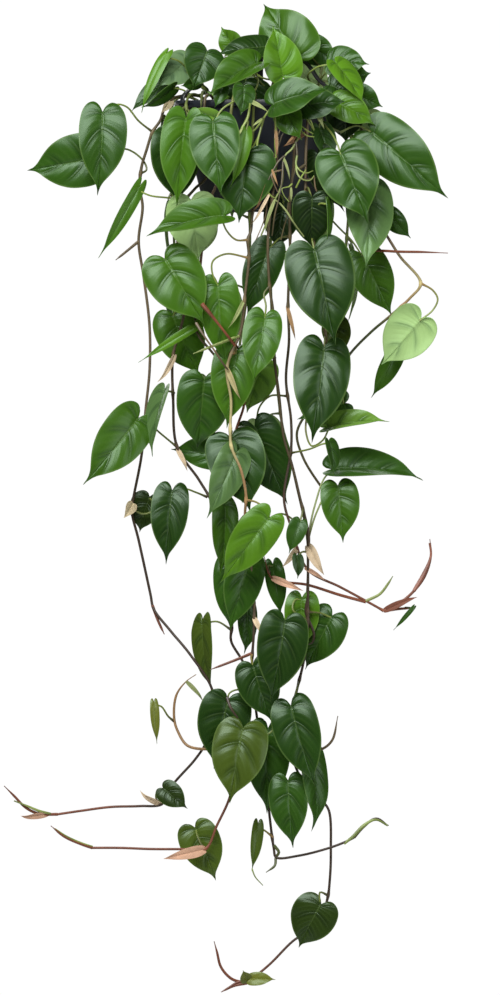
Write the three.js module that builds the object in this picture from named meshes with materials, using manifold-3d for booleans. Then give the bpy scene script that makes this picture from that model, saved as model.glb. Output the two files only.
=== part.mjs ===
// Potted heartleaf philodendron in a hanging pot.
// Units are millimetres, +Z is up, and the front of the plant faces -Y.
// The origin is the top of the eye of the hanger, where the pot hangs.

import * as THREE from 'three';
import { mergeVertices } from 'three/addons/utils/BufferGeometryUtils.js';
import Module from 'manifold-3d';

const wasm = await Module();
wasm.setup();

const { Vector3, Vector2 } = THREE;

// Driving dimensions of the pot
const POT_RIM_RADIUS = 77.5;
const POT_WALL_TOP_RADIUS = 73.5;
const POT_BASE_RADIUS = 50.0;
const POT_HEIGHT = 99.0;
const POT_WALL = 1.8;
const RIM_BAND_HEIGHT = 6.0;
const RIM_TOP_THICKNESS = 2.0;
const FOOT_RING_HEIGHT = 3.0;
const FOOT_RING_WIDTH = 6.0;
const DRAIN_HOLE_RADIUS = 4.0;
const DRAIN_CIRCLE_RADIUS = 30.0;
const DRAIN_HOLES = 6;
const SOIL_BELOW_RIM = 11.5;
const CLEARANCE = 0.4;
const POT_SIDES = 24;

// Driving dimensions of the hanger
const HANGER_HEIGHT = 76.5;
const HUB_DROP = 30.0;
const EYE_RADIUS = 7.0;
const EYE_WIRE_RADIUS = 1.8;
const EYE_STEPS = 11;
const HUB_RADIUS = 6.0;
const HUB_HEIGHT = 7.0;
const STRAP_WIDTH = 6.0;
const STRAP_THICKNESS = 2.0;
const LUG_WIDTH = 14.0;
const LUG_REACH = 9.0;
const LUG_THICKNESS = 3.0;
const STRAP_ANGLES = [210, 330, 90];

// Driving dimensions of the plant
const BLADE_THICKNESS = 0.8;
const STALK_RADIUS = 1.1;
const STEM_RADIUS = 1.9;
const SHOOT_RADIUS = 1.4;
const SHOOT_TIP_RADIUS = 0.5;
const ROOT_DEPTH = 16.0;
const STEM_SIDES = 4;
const STALK_SIDES = 3;
const SHOOT_SIDES = 3;
const HOLE_SIDES = 4;
const BROAD_LEAF = 56;
const NARROW_LEAF = 40;
const MIDRIB_ARCH = 0.05;
const SEAT_START = 0.03;
const BRACT_FOLD = 10;

// The plant is laid out on its front view: u runs to the right and v runs down, in steps of
// VIEW_UNIT millimetres, and the third number of a point is its depth in millimetres, with
// the front negative. The eye of the hanger and the axis of the pot lie at these places.
const VIEW_UNIT = 0.9;
const EYE_U = 274;
const EYE_V = 14;
const POT_U = 260;

const POT_X = (POT_U - EYE_U) * VIEW_UNIT;
const RIM_TOP_Z = -HANGER_HEIGHT;
const POT_BOTTOM_Z = RIM_TOP_Z - POT_HEIGHT;
const SOIL_TOP_Z = RIM_TOP_Z - SOIL_BELOW_RIM;
const INNER_FLOOR_Z = POT_BOTTOM_Z + FOOT_RING_HEIGHT + POT_WALL;

const place = ([u, v, depth]) =>
  new Vector3((u - EYE_U) * VIEW_UNIT, depth, (EYE_V - v) * VIEW_UNIT);

const toRadians = THREE.MathUtils.degToRad;

// Solids

function solidOf(geometry) {
  const bare = geometry.index ? geometry.clone() : geometry;
  bare.deleteAttribute('normal');
  bare.deleteAttribute('uv');
  const merged = mergeVertices(bare, 1e-4);
  const mesh = new wasm.Mesh({
    numProp: 3,
    vertProperties: new Float32Array(merged.attributes.position.array),
    triVerts: new Uint32Array(merged.index.array),
  });
  return new wasm.Manifold(mesh);
}

function geometryOf(solid) {
  const mesh = solid.getMesh();
  const geometry = new THREE.BufferGeometry();
  geometry.setAttribute('position', new THREE.BufferAttribute(mesh.vertProperties, 3));
  geometry.setIndex(new THREE.BufferAttribute(mesh.triVerts, 1));
  geometry.computeVertexNormals();
  return geometry;
}

const joined = (solids) => solids.reduce((whole, solid) => whole.add(solid));

function closedGeometry(points, triangles) {
  const geometry = new THREE.BufferGeometry();
  geometry.setAttribute(
    'position',
    new THREE.Float32BufferAttribute(points.flatMap((p) => [p.x, p.y, p.z]), 3),
  );
  geometry.setIndex(triangles.flat());
  return geometry;
}

function lathe(profile, segments) {
  const geometry = new THREE.LatheGeometry(profile.map(([r, z]) => new Vector2(r, z)), segments);
  geometry.rotateX(Math.PI / 2);
  geometry.translate(POT_X, 0, 0);
  return geometry;
}

// Rings of corners, one at each point of a route.
function ringsAlong(points, radiusAt, sides) {
  const last = points.length - 1;
  let normal = new Vector3(0.3, -0.9, 0.2);
  return points.map((point, i) => {
    const before = point.clone().sub(points[Math.max(i - 1, 0)]).normalize();
    const after = points[Math.min(i + 1, last)].clone().sub(point).normalize();
    const tangent = before.clone().add(after).normalize();
    normal = normal.clone().addScaledVector(tangent, -normal.dot(tangent)).normalize();
    const side = new Vector3().crossVectors(tangent, normal);
    const radius = radiusAt(i / last);
    return Array.from({ length: sides }, (_, k) => {
      const angle = (2 * Math.PI * k) / sides;
      return point.clone()
        .addScaledVector(normal, radius * Math.cos(angle))
        .addScaledVector(side, radius * Math.sin(angle));
    });
  });
}

// The skin over rings, closed at the start and, if asked, at the end.
function skinOf(rings, closeEnd) {
  const sides = rings[0].length;
  const last = rings.length - 1;
  const triangles = [];
  for (let i = 0; i < last; i += 1) {
    for (let k = 0; k < sides; k += 1) {
      const a = i * sides + k;
      const b = i * sides + ((k + 1) % sides);
      triangles.push([a, b, b + sides], [a, b + sides, a + sides]);
    }
  }
  for (let k = 1; k < sides - 1; k += 1) {
    triangles.push([0, k + 1, k]);
    if (closeEnd) {
      triangles.push([last * sides, last * sides + k, last * sides + k + 1]);
    }
  }
  return { points: rings.flat(), triangles };
}

function tube(points, radiusAt, sides) {
  const skin = skinOf(ringsAlong(points, radiusAt, sides), true);
  return closedGeometry(skin.points, skin.triangles);
}

// Leaf blades

// The frame of a blade runs from base to tip. With no roll its upper face looks at the front.
function bladeFrame(base, tip, roll) {
  const along = tip.clone().sub(base);
  const length = along.length();
  along.normalize();
  const front = new Vector3(0, -1, 0);
  const face = front.addScaledVector(along, -front.dot(along)).normalize();
  const across = new Vector3().crossVectors(face, along);
  const cos = Math.cos(toRadians(roll));
  const sin = Math.sin(toRadians(roll));
  const normal = face.clone().multiplyScalar(cos).addScaledVector(across, sin);
  const side = across.clone().multiplyScalar(cos).addScaledVector(face, -sin);
  return { base, along, length, normal, side };
}

// A point of the blade: s is the share of the width to one side, t the share of the length.
function bladePoint(frame, s, t, width, fold) {
  const out = s * width;
  const rise = Math.abs(out) * Math.sin(toRadians(fold))
    + MIDRIB_ARCH * frame.length * 4 * t * (1 - t);
  return frame.base.clone()
    .addScaledVector(frame.along, t * frame.length)
    .addScaledVector(frame.side, out * Math.cos(toRadians(fold)))
    .addScaledVector(frame.normal, rise);
}

// Half outlines from the lobe to the drip tip, and the triangles of one half. In a triangle,
// a number is a point of the half outline, N the notch, T the tip and A, B the midrib.
const BROAD_HALF = {
  outline: [[0.20, -0.13], [0.44, -0.02], [0.50, 0.22], [0.38, 0.54], [0.11, 0.84]],
  triangles: ['N01', 'N12', 'N2A', 'A23', 'A3B', 'B34', 'B4T'],
};
const SMALL_HALF = {
  outline: [[0.22, -0.12], [0.49, 0.08], [0.42, 0.44], [0.14, 0.80]],
  triangles: ['N01', 'N1A', 'A12', 'A23', 'A3T'],
};
const NARROW_HALF = {
  outline: [[0.30, -0.11], [0.50, 0.16], [0.30, 0.64]],
  triangles: ['N01', 'N1A', 'A12', 'A2T'],
};
const BRACT_HALF = {
  outline: [[0.50, 0.28], [0.36, 0.72]],
  triangles: ['N0A', 'A01', 'A1T'],
};
const MIDRIB = { N: 0, A: 0.25, B: 0.58, T: 1 };

// A thin blade, split into triangles alike on both faces. Its underside may have a small
// three-cornered seat on the midrib, left open for the stalk.
function bladeSkin(frame, width, fold, half, hasSeat) {
  const thick = BLADE_THICKNESS / 2 / Math.cos(toRadians(fold));
  const shift = frame.normal.clone().multiplyScalar(thick);
  const names = Object.keys(MIDRIB).filter((name) => half.triangles.join('').includes(name));
  const middle = names.map((name) => bladePoint(frame, 0, MIDRIB[name], width, fold));
  const right = half.outline.map(([s, t]) => bladePoint(frame, s, t, width, fold));
  const left = half.outline.map(([s, t]) => bladePoint(frame, -s, t, width, fold));
  const sheet = [...middle, ...right, ...left];
  const count = sheet.length;
  const seatFirst = 2 * count;
  const index = (letter, first) =>
    (names.includes(letter) ? names.indexOf(letter) : first + Number(letter));
  const triangles = [];
  const halves = [
    { first: names.length, isRight: true },
    { first: names.length + right.length, isRight: false },
  ];
  for (const { first, isRight } of halves) {
    const turned = (x, y, z) => (isRight ? [x, z, y] : [x, y, z]);
    for (const word of half.triangles) {
      const [a, b, c] = [...word].map((letter) => index(letter, first));
      const [under, outer, inner] = [a, b, c].map((corner) => corner + count);
      triangles.push(turned(a, b, c));
      if (hasSeat && word.startsWith('N') && word.endsWith('A')) {
        const edge = seatFirst + (isRight ? 1 : 2);
        triangles.push(
          turned(outer, under, seatFirst), turned(outer, seatFirst, edge), turned(outer, edge, inner),
        );
      } else {
        triangles.push(turned(inner, outer, under));
      }
    }
  }
  const steps = half.outline.map((_, i) => i);
  const rim = [
    names.indexOf('N'),
    ...steps.map((i) => names.length + i),
    names.indexOf('T'),
    ...steps.map((i) => names.length + right.length + i).reverse(),
  ];
  rim.forEach((a, i) => {
    const b = rim[(i + 1) % rim.length];
    triangles.push([a, b, b + count], [a, b + count, a + count]);
  });
  const seat = [];
  if (hasSeat) {
    const out = STALK_RADIUS / width;
    const reach = SEAT_START + (2 * STALK_RADIUS) / frame.length;
    for (const [s, t] of [[0, SEAT_START], [out, reach], [-out, reach]]) {
      seat.push(bladePoint(frame, s, t, width, fold).sub(shift));
    }
    triangles.push([seatFirst + 1, names.indexOf('A') + count, seatFirst + 2]);
  }
  const points = [
    ...sheet.map((p) => p.clone().add(shift)),
    ...sheet.map((p) => p.clone().sub(shift)),
    ...seat,
  ];
  return { points, triangles, seat };
}

// The seat's corners in the order of a ring, started where they lie nearest to the ring before.
function seatRing([notch, right, left], previous) {
  const ring = [right, notch, left];
  const turns = ring.map((_, k) => [...ring.slice(k), ...ring.slice(0, k)]);
  const reach = (turn) => turn.reduce((sum, p, k) => sum + p.distanceTo(previous[k]), 0);
  return turns.reduce((best, turn) => (reach(turn) < reach(best) ? turn : best));
}

// Layout of the plant
// A leaf is [name, base, tip, width, roll, fold, stalk], and its stalk runs from the stem to
// the base. A shoot is a list of points. A bract is [base, tip, width, roll].
const VINES = [
  {
    name: 'outer_left_vine',
    stem: [[205, 130, -8], [205, 112, -8], [203, 96, -9], [190, 93, -12], [171, 97, -15],
      [164, 106, -16], [160, 118, -16], [152, 130, -16], [146, 148, -16], [141, 165, -16],
      [139, 185, -16], [142, 205, -16], [138, 240, -17], [143, 275, -18], [149, 325, -19],
      [149, 370, -20], [145, 410, -20], [141, 455, -21], [133, 497, -22], [131, 510, -22],
      [138, 540, -22], [150, 595, -22], [153, 609, -24], [170, 631, -40], [190, 655, -50],
      [212, 690, -54], [213, 716, -54], [206, 743, -52], [195, 760, -50], [173, 785, -46],
      [161, 805, -44], [140, 807, -43], [110, 808, -40], [80, 812, -36], [57, 815.5, -33]],
    shoots: [
      [[57, 815.5, -33], [38, 815, -31], [25, 809, -30], [13, 797, -30], [3, 787, -30]],
      [[138, 240, -17], [126, 250, -22], [115, 259, -26]],
      [[152, 606, -23], [158, 622, -26], [164, 635, -28]],
    ],
    bracts: [
      [[171, 97, -15], [162, 110, -21], 10, 10],
      [[132.5, 503, -23], [125, 516.5, -32], 13, 12],
      [[161, 805, -44], [140, 794, -50], 7, 30],
      [[48, 815, -32], [20, 819, -30], 7, 20],
    ],
    leaves: [
      ['a1', [102, 111, -34], [97, 193, -38], 50, 0, 14,
        [[152, 130, -16], [138, 119, -20], [126, 105, -26], [115, 103, -30]]],
      ['a2', [98, 156, -12], [27, 168, 2], 56, 0, 12,
        [[139, 172, -16], [146, 168, -14], [142, 158, -12], [125, 147, -11], [106, 152, -10]]],
      ['a3', [149, 497, -21], [139, 532, -17], 33, -10, 14,
        [[131, 508, -22], [142, 514, -29], [152, 511, -31], [153, 502, -26]]],
      ['a4', [163, 789, -52], [187, 809, -56], 26, 5, 18,
        [[161, 804, -44], [156, 800, -47], [157, 792, -50]]],
    ],
  },
  {
    name: 'inner_left_vine',
    stem: [[216, 130, -40], [216, 112, -40], [212, 96, -52], [206, 96, -66], [204, 108, -69],
      [205, 140, -66], [206, 177, -62], [195, 188, -60], [182, 205, -56], [178, 233, -52],
      [177, 270, -52], [184, 310, -53], [180, 330, -53], [173, 355, -52], [173, 400, -50],
      [177, 447, -50], [199, 480, -50], [217, 512, -53], [225, 545, -52], [228, 580, -50],
      [232, 625, -48], [231, 641, -48], [244, 665, -46], [247, 690, -44], [240, 720, -44],
      [236, 760, -46], [230, 797, -48], [217, 826, -50], [205, 850, -52], [180, 850, -50],
      [150, 850, -46], [120, 849, -42], [92, 849, -40]],
    shoots: [
      [[92, 849, -40], [80, 845, -38], [64, 838, -36], [50, 827, -34]],
      [[238, 735, -45], [222, 747, -55], [205, 749.5, -57], [187, 746, -50], [178, 733, -46],
        [174, 720, -44], [176, 696, -42], [186, 682, -41], [196, 675, -40]],
    ],
    bracts: [
      [[175, 354, -52], [160, 381, -60], 6.5, 20],
      [[177, 449, -50], [187, 469, -58], 5.5, 10],
      [[205, 850, -52], [166, 859, -62], 13, 0],
      [[186, 682, -41], [203, 700, -46], 5, 20],
    ],
    leaves: [
      ['b1', [139, 187, -58], [99, 257, -62], 15, 15, 16,
        [[186, 199, -57], [166, 197, -58], [150, 195, -58]]],
      ['b2', [191, 200, -72], [199, 260, -76], 54, 180, 10,
        [[182, 205, -56], [184, 207, -64], [192, 206, -69]]],
      ['b3', [165, 259, -86], [204, 324, -92], 60, 5, 12,
        [[177, 250, -52], [171, 249, -66], [166, 253, -80]]],
      ['b4', [172, 314, -40], [199, 376, -40], 50, 0, 12,
        [[183, 305, -53], [178, 304, -44]]],
      ['b5', [164, 391, -58], [151.5, 455, -60], 34, -60, 20,
        [[174, 393, -51], [169, 391, -55]]],
      ['b6', [138, 418, -54], [85, 483, -76], 50, 5, 12,
        [[177, 447, -50], [160, 433, -51], [147, 422, -52]]],
      ['b7', [172, 491, -62], [166, 563, -66], 39, 0, 14,
        [[207, 497, -51], [195, 492, -56], [185, 489, -60]]],
      ['b8', [225, 504, -66], [220, 575, -68], 34, 35, 16,
        [[221, 528, -53], [221, 508, -60]]],
      ['b9', [228, 563, -56], [229, 628, -54], 32, -20, 14,
        [[226, 556, -52], [225, 558, -54]]],
      ['b10', [202, 622, -42], [211, 691, -42], 30, -45, 16,
        [[231, 630, -48], [217, 622, -43]]],
      ['b11', [228, 700, -66], [214, 768, -64], 54, 0, 12,
        [[246, 694, -44], [238, 690, -56], [229, 694, -64]]],
      ['b12', [195, 829, -42], [215.5, 881, -42], 42, 0, 10,
        [[205, 850, -52], [201, 845, -50], [197, 836, -46]]],
      ['b13', [154, 704, -48], [157, 744, -50], 10, 10, 18,
        [[174, 722, -44], [168, 717, -45], [161, 707, -47]]],
    ],
  },
  {
    name: 'left_front_vine',
    stem: [[238, 130, -55], [238, 112, -55], [236, 95, -64], [234, 95, -76], [232, 105, -82],
      [228, 140, -78], [218, 180, -72], [208, 205, -64], [203, 240, -62], [200, 275, -64],
      [203, 306, -72], [224, 330, -74], [237, 347, -72], [245, 375, -68], [244, 405, -64],
      [236, 430, -62], [232, 452, -62], [236, 480, -62]],
    shoots: [
      [[201, 290, -68], [196, 329, -68], [212, 352, -68], [226, 368, -68]],
    ],
    bracts: [],
    leaves: [
      ['c1', [201, 323, -72], [139, 362, -74], 10, 0, 16,
        [[203, 306, -72], [205, 315, -71]]],
      ['c2', [204, 380, -68], [197, 450, -56], 55, 0, 12,
        [[226, 368, -68], [214, 371, -68]]],
      ['c3', [226, 456, -50], [171, 449, -35], 34, 0, 14,
        [[232, 452, -62], [230, 454, -56]]],
    ],
  },
  {
    name: 'centre_front_vine',
    stem: [[256, 130, -58], [256, 112, -58], [255, 94, -68], [254, 97, -82], [253, 125, -78],
      [252, 160, -74], [252, 200, -76], [251, 230, -82], [248, 240, -84], [249, 258, -84],
      [245, 295, -84], [241, 330, -84], [227, 368, -84], [231, 400, -84], [231, 445, -90],
      [241, 470, -92], [246, 495, -91], [245, 515, -84], [247, 540, -72], [251, 565, -68],
      [254, 600, -66], [254, 630, -66], [252, 665, -64], [254, 690, -60], [257, 718, -58],
      [262, 745, -56], [266, 775, -56], [270, 820, -56], [274, 850, -56], [276, 858, -57],
      [300, 856, -62], [330, 848, -70], [346, 842, -68], [354, 838, -67]],
    shoots: [
      [[354, 838, -67], [364, 827, -66], [376, 819, -65], [389, 826, -65]],
      [[239, 336, -84], [213, 346, -92], [193, 354, -95]],
      [[253, 653, -65], [236, 660, -62], [210, 670, -61]],
      [[274, 846, -56], [279, 853, -57], [276, 858, -56], [275, 866, -60], [266, 873, -62]],
    ],
    bracts: [
      [[244, 300, -84], [230, 327, -92], 4.5, 10],
      [[227, 368, -84], [239, 398, -92], 6, -10],
      [[254, 618, -66], [262, 634, -76], 6, 0],
    ],
    leaves: [
      ['d1', [224, 216, -98], [148, 236, -96], 43, -35, 35,
        [[248, 240, -84], [236, 240, -90], [226, 230, -96]]],
      ['d2', [218, 284, -82], [226, 366, -80], 42, 0, 12,
        [[249, 258, -84], [226, 254, -84], [213, 261, -84], [212, 272, -84]]],
      ['d3', [236, 352, -76], [227, 427, -78], 46, 0, 14,
        [[233, 354, -84], [236, 348, -79]]],
      ['d4', [231, 438, -66], [250, 511, -78], 60, 0, 10,
        [[231, 428, -88], [231, 431, -80]]],
      ['d5', [269, 518, -94], [221, 582, -88], 43, 0, 14,
        [[246, 500, -90], [256, 502, -92], [265, 509, -94]]],
      ['d6', [249, 560, -66], [230, 630, -68], 40, 10, 12,
        [[250, 560, -69], [249, 556, -66]]],
      ['d7', [247, 606, -56], [245, 654, -54], 24, 30, 14,
        [[254, 604, -66], [251, 596, -60]]],
      ['d8', [253, 666, -76], [272, 722, -76], 44, 0, 12,
        [[252, 655, -65], [251, 658, -72]]],
      ['d9', [268, 729, -68], [267, 813, -64], 46, 0, 10,
        [[259, 728, -57], [265, 722, -64]]],
      ['d10', [258, 825, -62], [252, 871, -64], 13, 10, 18,
        [[273, 838, -56], [266, 832, -59]]],
      ['d11', [237, 452, -77], [208, 517, -88], 36, 10, 14,
        [[231, 446, -90], [232, 450, -83]]],
    ],
  },
  {
    name: 'right_front_vine',
    stem: [[276, 130, -56], [276, 112, -56], [276, 94, -68], [275, 97, -83], [276, 130, -86],
      [277, 158, -86], [272, 200, -86], [268, 240, -86], [270, 290, -86], [273, 311, -86],
      [274, 355, -86], [279, 395, -86], [284, 438, -86], [292, 465, -86], [300, 498, -86],
      [308, 532, -84], [308, 560, -82], [308, 600, -78], [307, 641, -74], [303, 665, -72],
      [297, 690, -70], [293, 712, -64], [291, 740, -58], [296, 768, -56], [306, 785, -56],
      [322, 801, -58], [329, 811, -60], [331, 850, -60], [330, 880, -60], [327, 902, -57],
      [316, 926, -56], [293, 942, -56], [270, 965, -56], [247, 984, -56]],
    shoots: [
      [[247, 984, -56], [232, 980, -56], [221, 968, -57], [217, 953, -58], [214, 942, -58]],
      [[247, 984, -56], [233, 987, -57], [221, 993, -58]],
      [[292, 728, -61], [306, 748, -64], [320, 750, -66], [332, 741, -68], [338, 716, -70]],
      [[308, 598, -78], [306, 612, -76], [314, 634, -72], [312, 643, -70], [305, 645, -72]],
    ],
    bracts: [
      [[276, 132, -86], [276, 158, -92], 4.5, 10],
      [[308, 545, -83], [322, 573, -94], 12, -10],
    ],
    leaves: [
      ['e1', [265, 317, -94], [253, 383, -105], 40, 0, 14,
        [[270, 286, -86], [264, 294, -90], [266, 306, -93]]],
      ['e2', [262, 364, -54], [247, 412, -49], 42, 0, 12,
        [[275, 358, -86], [269, 355, -60]]],
      ['e3', [300, 522, -94], [289, 553, -96], 20, 0, 14,
        [[303, 508, -86], [302, 514, -91]]],
      ['e4', [297, 556, -92], [298, 578, -94], 14, 30, 16,
        [[308, 552, -83], [302, 552, -89]]],
      ['e5', [285, 621, -92], [271, 700, -90], 52, 0, 12,
        [[308, 622, -76], [297, 614, -86]]],
      ['e6', [302, 598, -70], [300, 652, -66], 36, 0, 12,
        [[307, 620, -76], [293, 610, -76], [295, 600, -72]]],
      ['e7', [332, 616, -70], [305, 669, -62], 46, -15, 14,
        [[308, 612, -77], [320, 613, -74]]],
      ['e8', [338, 486, -74], [343, 542, -78], 40, 0, 14,
        [[308, 540, -83], [316, 514, -80], [328, 492, -76]]],
      ['e9', [334, 469, -68], [422, 477, -62], 50, 50, 30,
        [[308, 536, -84], [315, 505, -78], [326, 476, -70]]],
      ['e10', [291, 706, -84], [315, 785, -88], 48, 0, 12,
        [[300, 680, -71], [295, 695, -80]]],
      ['e11', [310, 752, -68], [315, 830, -68], 38, 45, 14,
        [[294, 755, -57], [303, 748, -64]]],
      ['e12', [288, 781, -77], [293, 847, -79], 40, 0, 12,
        [[301, 778, -56], [293, 776, -70]]],
      ['e13', [243, 728, -86], [230, 802, -92], 56, 0, 10,
        [[292, 722, -62], [280, 724, -76], [266, 735, -78], [254, 730, -82]]],
      ['e14', [321, 905, -64], [299, 948, -55], 47, -10, 4,
        [[328, 896, -58], [320, 893, -63]]],
      ['e15', [250, 980, -62], [275, 980, -64], 15, 20, 16,
        [[247, 984, -56], [248, 982, -60]]],
      ['e16', [247, 982, -60], [243, 971, -66], 13, 0, 16,
        [[249, 983, -56], [248, 983, -58]]],
      ['e17', [284, 202, -64], [276, 250, -62], 38, 0, 14,
        [[272, 200, -86], [277, 195, -78], [282, 196, -70]]],
    ],
  },
  {
    name: 'centre_right_vine',
    stem: [[290, 130, -52], [290, 112, -52], [291, 95, -62], [292, 96, -76], [293, 115, -78],
      [294, 160, -74], [290, 200, -72], [290, 250, -72], [288, 306, -72], [289, 340, -72],
      [286, 380, -72], [291, 420, -72], [291, 450, -72], [284, 500, -72], [292, 530, -72],
      [297, 548, -72], [309, 571, -71], [340, 587, -72], [366, 601, -72], [384, 611, -72]],
    shoots: [
      [[384, 611, -72], [400, 603, -72], [414, 591, -72], [425, 576, -72], [431, 556, -72],
        [430, 539, -72]],
      [[366, 601, -72], [380, 594, -72], [388, 584, -72], [393, 576, -72]],
      [[366, 602, -72], [340, 595, -71], [308, 585, -69], [272, 578, -68], [264, 556, -66]],
      [[384, 611, -72], [398, 609, -73], [413, 608, -74]],
    ],
    bracts: [
      [[287, 306, -72], [295, 338, -80], 4.5, 0],
      [[297, 548, -72], [284, 566, -80], 7, 10],
      [[272, 578, -68], [301, 590, -78], 8, 0],
      [[384, 611, -72], [415, 597, -80], 8, 10],
    ],
    leaves: [
      ['f1', [270, 246, -66], [247, 316, -68], 38, 0, 12,
        [[290, 236, -72], [280, 238, -68]]],
      ['f2', [255, 427, -53], [287, 503, -44], 52, 0, 12,
        [[288, 396, -72], [270, 396, -58], [259, 408, -50]]],
      ['f3', [329, 442, -108], [333, 475, -110], 28, 62, 18,
        [[291, 453, -72], [310, 449, -95], [323, 444, -107]]],
      ['f4', [273, 565, -62], [281, 616, -60], 21, 0, 12,
        [[270, 574, -67], [268, 566, -64]]],
      ['f5', [413, 608, -76], [394, 630, -77], 5, 10, 14,
        [[405, 608, -73], [410, 608, -74]]],
    ],
  },
  {
    name: 'upper_right_vine',
    stem: [[300, 130, -46], [300, 112, -46], [302, 95, -57], [305, 93, -67], [308, 98, -76],
      [306, 150, -80], [306, 190, -84], [310, 225, -86], [316, 255, -88], [322, 300, -86],
      [326, 340, -84], [330, 375, -82], [332, 398, -78]],
    shoots: [
      [[305, 165, -82], [297, 172, -86], [304, 180, -88], [313, 178, -88]],
    ],
    bracts: [
      [[306.7, 132, -78.6], [286, 146, -90], 4.5, 10],
    ],
    leaves: [
      ['g1', [312, 198, -94], [312, 250, -84], 42, 0, 12,
        [[306, 190, -84], [308, 188, -90]]],
      ['g2', [327, 203, -100], [325, 250, -100], 20, 74, 16,
        [[309, 216, -86], [320, 204, -96]]],
      ['g3', [314, 250, -104], [335, 343, -117], 70, 0, 12,
        [[313, 240, -87], [312, 240, -98]]],
      ['g4', [362, 254, -46], [392, 315, -46], 44, 0, 14,
        [[308, 205, -85], [325, 214, -70], [341, 229, -52], [352, 240, -47]]],
      ['g5', [335, 322, -72], [344, 354, -74], 32, -20, 14,
        [[325, 330, -84], [329, 320, -76]]],
      ['g6', [324, 348, -94], [312, 441, -109], 58, 0, 12,
        [[326, 338, -84], [325, 338, -90]]],
      ['g7', [345, 403, -70], [298, 419, -70], 36, -10, 14,
        [[331, 388, -80], [342, 396, -74]]],
    ],
  },
  {
    name: 'right_rim_vine',
    stem: [[326, 130, -12], [326, 112, -12], [336, 95, -13], [346, 95.5, -14], [351, 100, -14],
      [357, 115, -16], [363, 130, -30], [367, 145, -42], [367, 175, -45], [369, 198, -54],
      [376, 219, -66], [386, 234, -69], [400, 256, -67], [421, 283, -64], [410, 298, -60],
      [390, 316, -56], [371, 332, -54], [348, 357, -54], [340, 378, -56], [325, 395, -58],
      [307, 413, -60], [297, 433, -60], [303, 457, -60], [318, 482, -60], [326, 492, -60]],
    shoots: [
      [[369, 198, -54], [366, 224, -50], [370, 247, -60], [390, 251, -74], [423, 252, -80],
        [448, 253, -77]],
    ],
    bracts: [],
    leaves: [
      ['h1', [421, 319, -66], [382, 364, -70], 50, 180, 10,
        [[421, 283, -64], [433, 290, -65], [438, 299, -66], [433, 310, -66]]],
      ['h2', [398, 350, -44], [372, 397, -42], 21, 0, 14,
        [[402, 306, -58], [407, 322, -52], [404, 341, -47]]],
      ['h3', [327, 427, -84], [388, 421, -88], 31, 42, 40,
        [[307, 413, -60], [306, 432, -68], [312, 446, -78], [323, 440, -82]]],
      ['h4', [368, 186, -58], [366, 268, -86], 50, 10, 12,
        [[367, 168, -44], [370, 177, -36]]],
      ['h5', [388, 212, -36], [411, 237, -38], 22, 0, 14,
        [[368, 190, -51], [377, 193, -40]]],
    ],
  },
  {
    name: 'right_spray',
    stem: [[314, 130, -34], [314, 112, -34], [316, 94, -44], [319, 93, -54], [321, 98, -62],
      [321, 110, -66], [322, 122, -68]],
    shoots: [
      [[322, 122, -68], [332, 128, -64], [342, 132, -60]],
    ],
    bracts: [
      [[321, 121, -70], [317, 115, -76], 4.5, 0],
    ],
    leaves: [
      ['i1', [340, 153, -90], [367, 222, -102], 62, 0, 10,
        [[322, 122, -68], [332, 134, -80], [338, 146, -88]]],
      ['i2', [319, 127, -72], [330, 165, -76], 28, 35, 16,
        [[322, 121, -68], [320, 122, -71]]],
      ['i3', [372, 132, -58], [447, 197, -71], 58, 0, 10,
        [[340, 132, -60], [356, 125, -58], [366, 128, -55]]],
      ['i4', [318, 154, -76], [344, 211, -78], 40, -30, 14,
        [[334, 129, -63], [324, 140, -68]]],
    ],
  },
  {
    name: 'left_spray',
    stem: [[214, 130, -26], [214, 112, -26], [200, 95, -34], [190, 94, -48], [186, 104, -58],
      [188, 114, -64]],
    shoots: [],
    bracts: [],
    leaves: [
      ['j1', [174, 133, -50], [178, 204, -44], 52, 10, 12,
        [[186, 106, -59], [176, 112, -54], [172, 120, -51]]],
      ['j2', [186, 118, -79], [177, 205, -80], 46, -10, 24,
        [[187, 110, -62], [189, 111, -70]]],
      ['j3', [215, 117, -76], [193, 108, -78], 18, 30, 14,
        [[188, 114, -64], [200, 120, -72], [212, 121, -75]]],
    ],
  },
  {
    name: 'middle_spray',
    stem: [[247, 130, -50], [247, 112, -50], [249, 97, -60], [249, 95, -72], [249, 98, -84],
      [249, 114, -88], [240, 133, -88]],
    shoots: [],
    bracts: [
      [[249.5, 101, -85], [267, 111, -96], 5, 10],
      [[240, 131, -88], [238, 137, -92], 4, 0],
    ],
    leaves: [
      ['k1', [258, 62, -62], [208, 95, -78], 46, -35, 38,
        [[249, 96, -64], [256, 88, -66], [258, 79, -66], [255, 70, -64]]],
      ['k2', [213, 122, -98], [221, 195, -107], 52, -5, 12,
        [[249, 96, -76], [234, 102, -92], [222, 110, -97]]],
      ['k3', [273, 105, -98], [328, 90, -103], 48, 35, 25,
        [[242, 130, -88], [252, 132, -92], [262, 121, -96], [269, 111, -98]]],
      ['k4', [246, 151, -86], [239, 222, -90], 64, 0, 12,
        [[264, 118, -97], [259, 135, -90], [254, 145, -87]]],
      ['k5', [246, 133, -96], [231, 187, -97], 17, 15, 26,
        [[246, 121, -88], [248, 122, -91]]],
      ['k6', [244, 87, -87], [241, 115, -92], 26, 25, 14,
        [[249, 95, -76], [244, 88, -80]]],
    ],
  },
  {
    name: 'left_crown_shoot',
    stem: [[224, 130, -12], [224, 112, -12], [210, 92, -18], [196, 80, -20], [188, 68, -22]],
    shoots: [],
    bracts: [],
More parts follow.
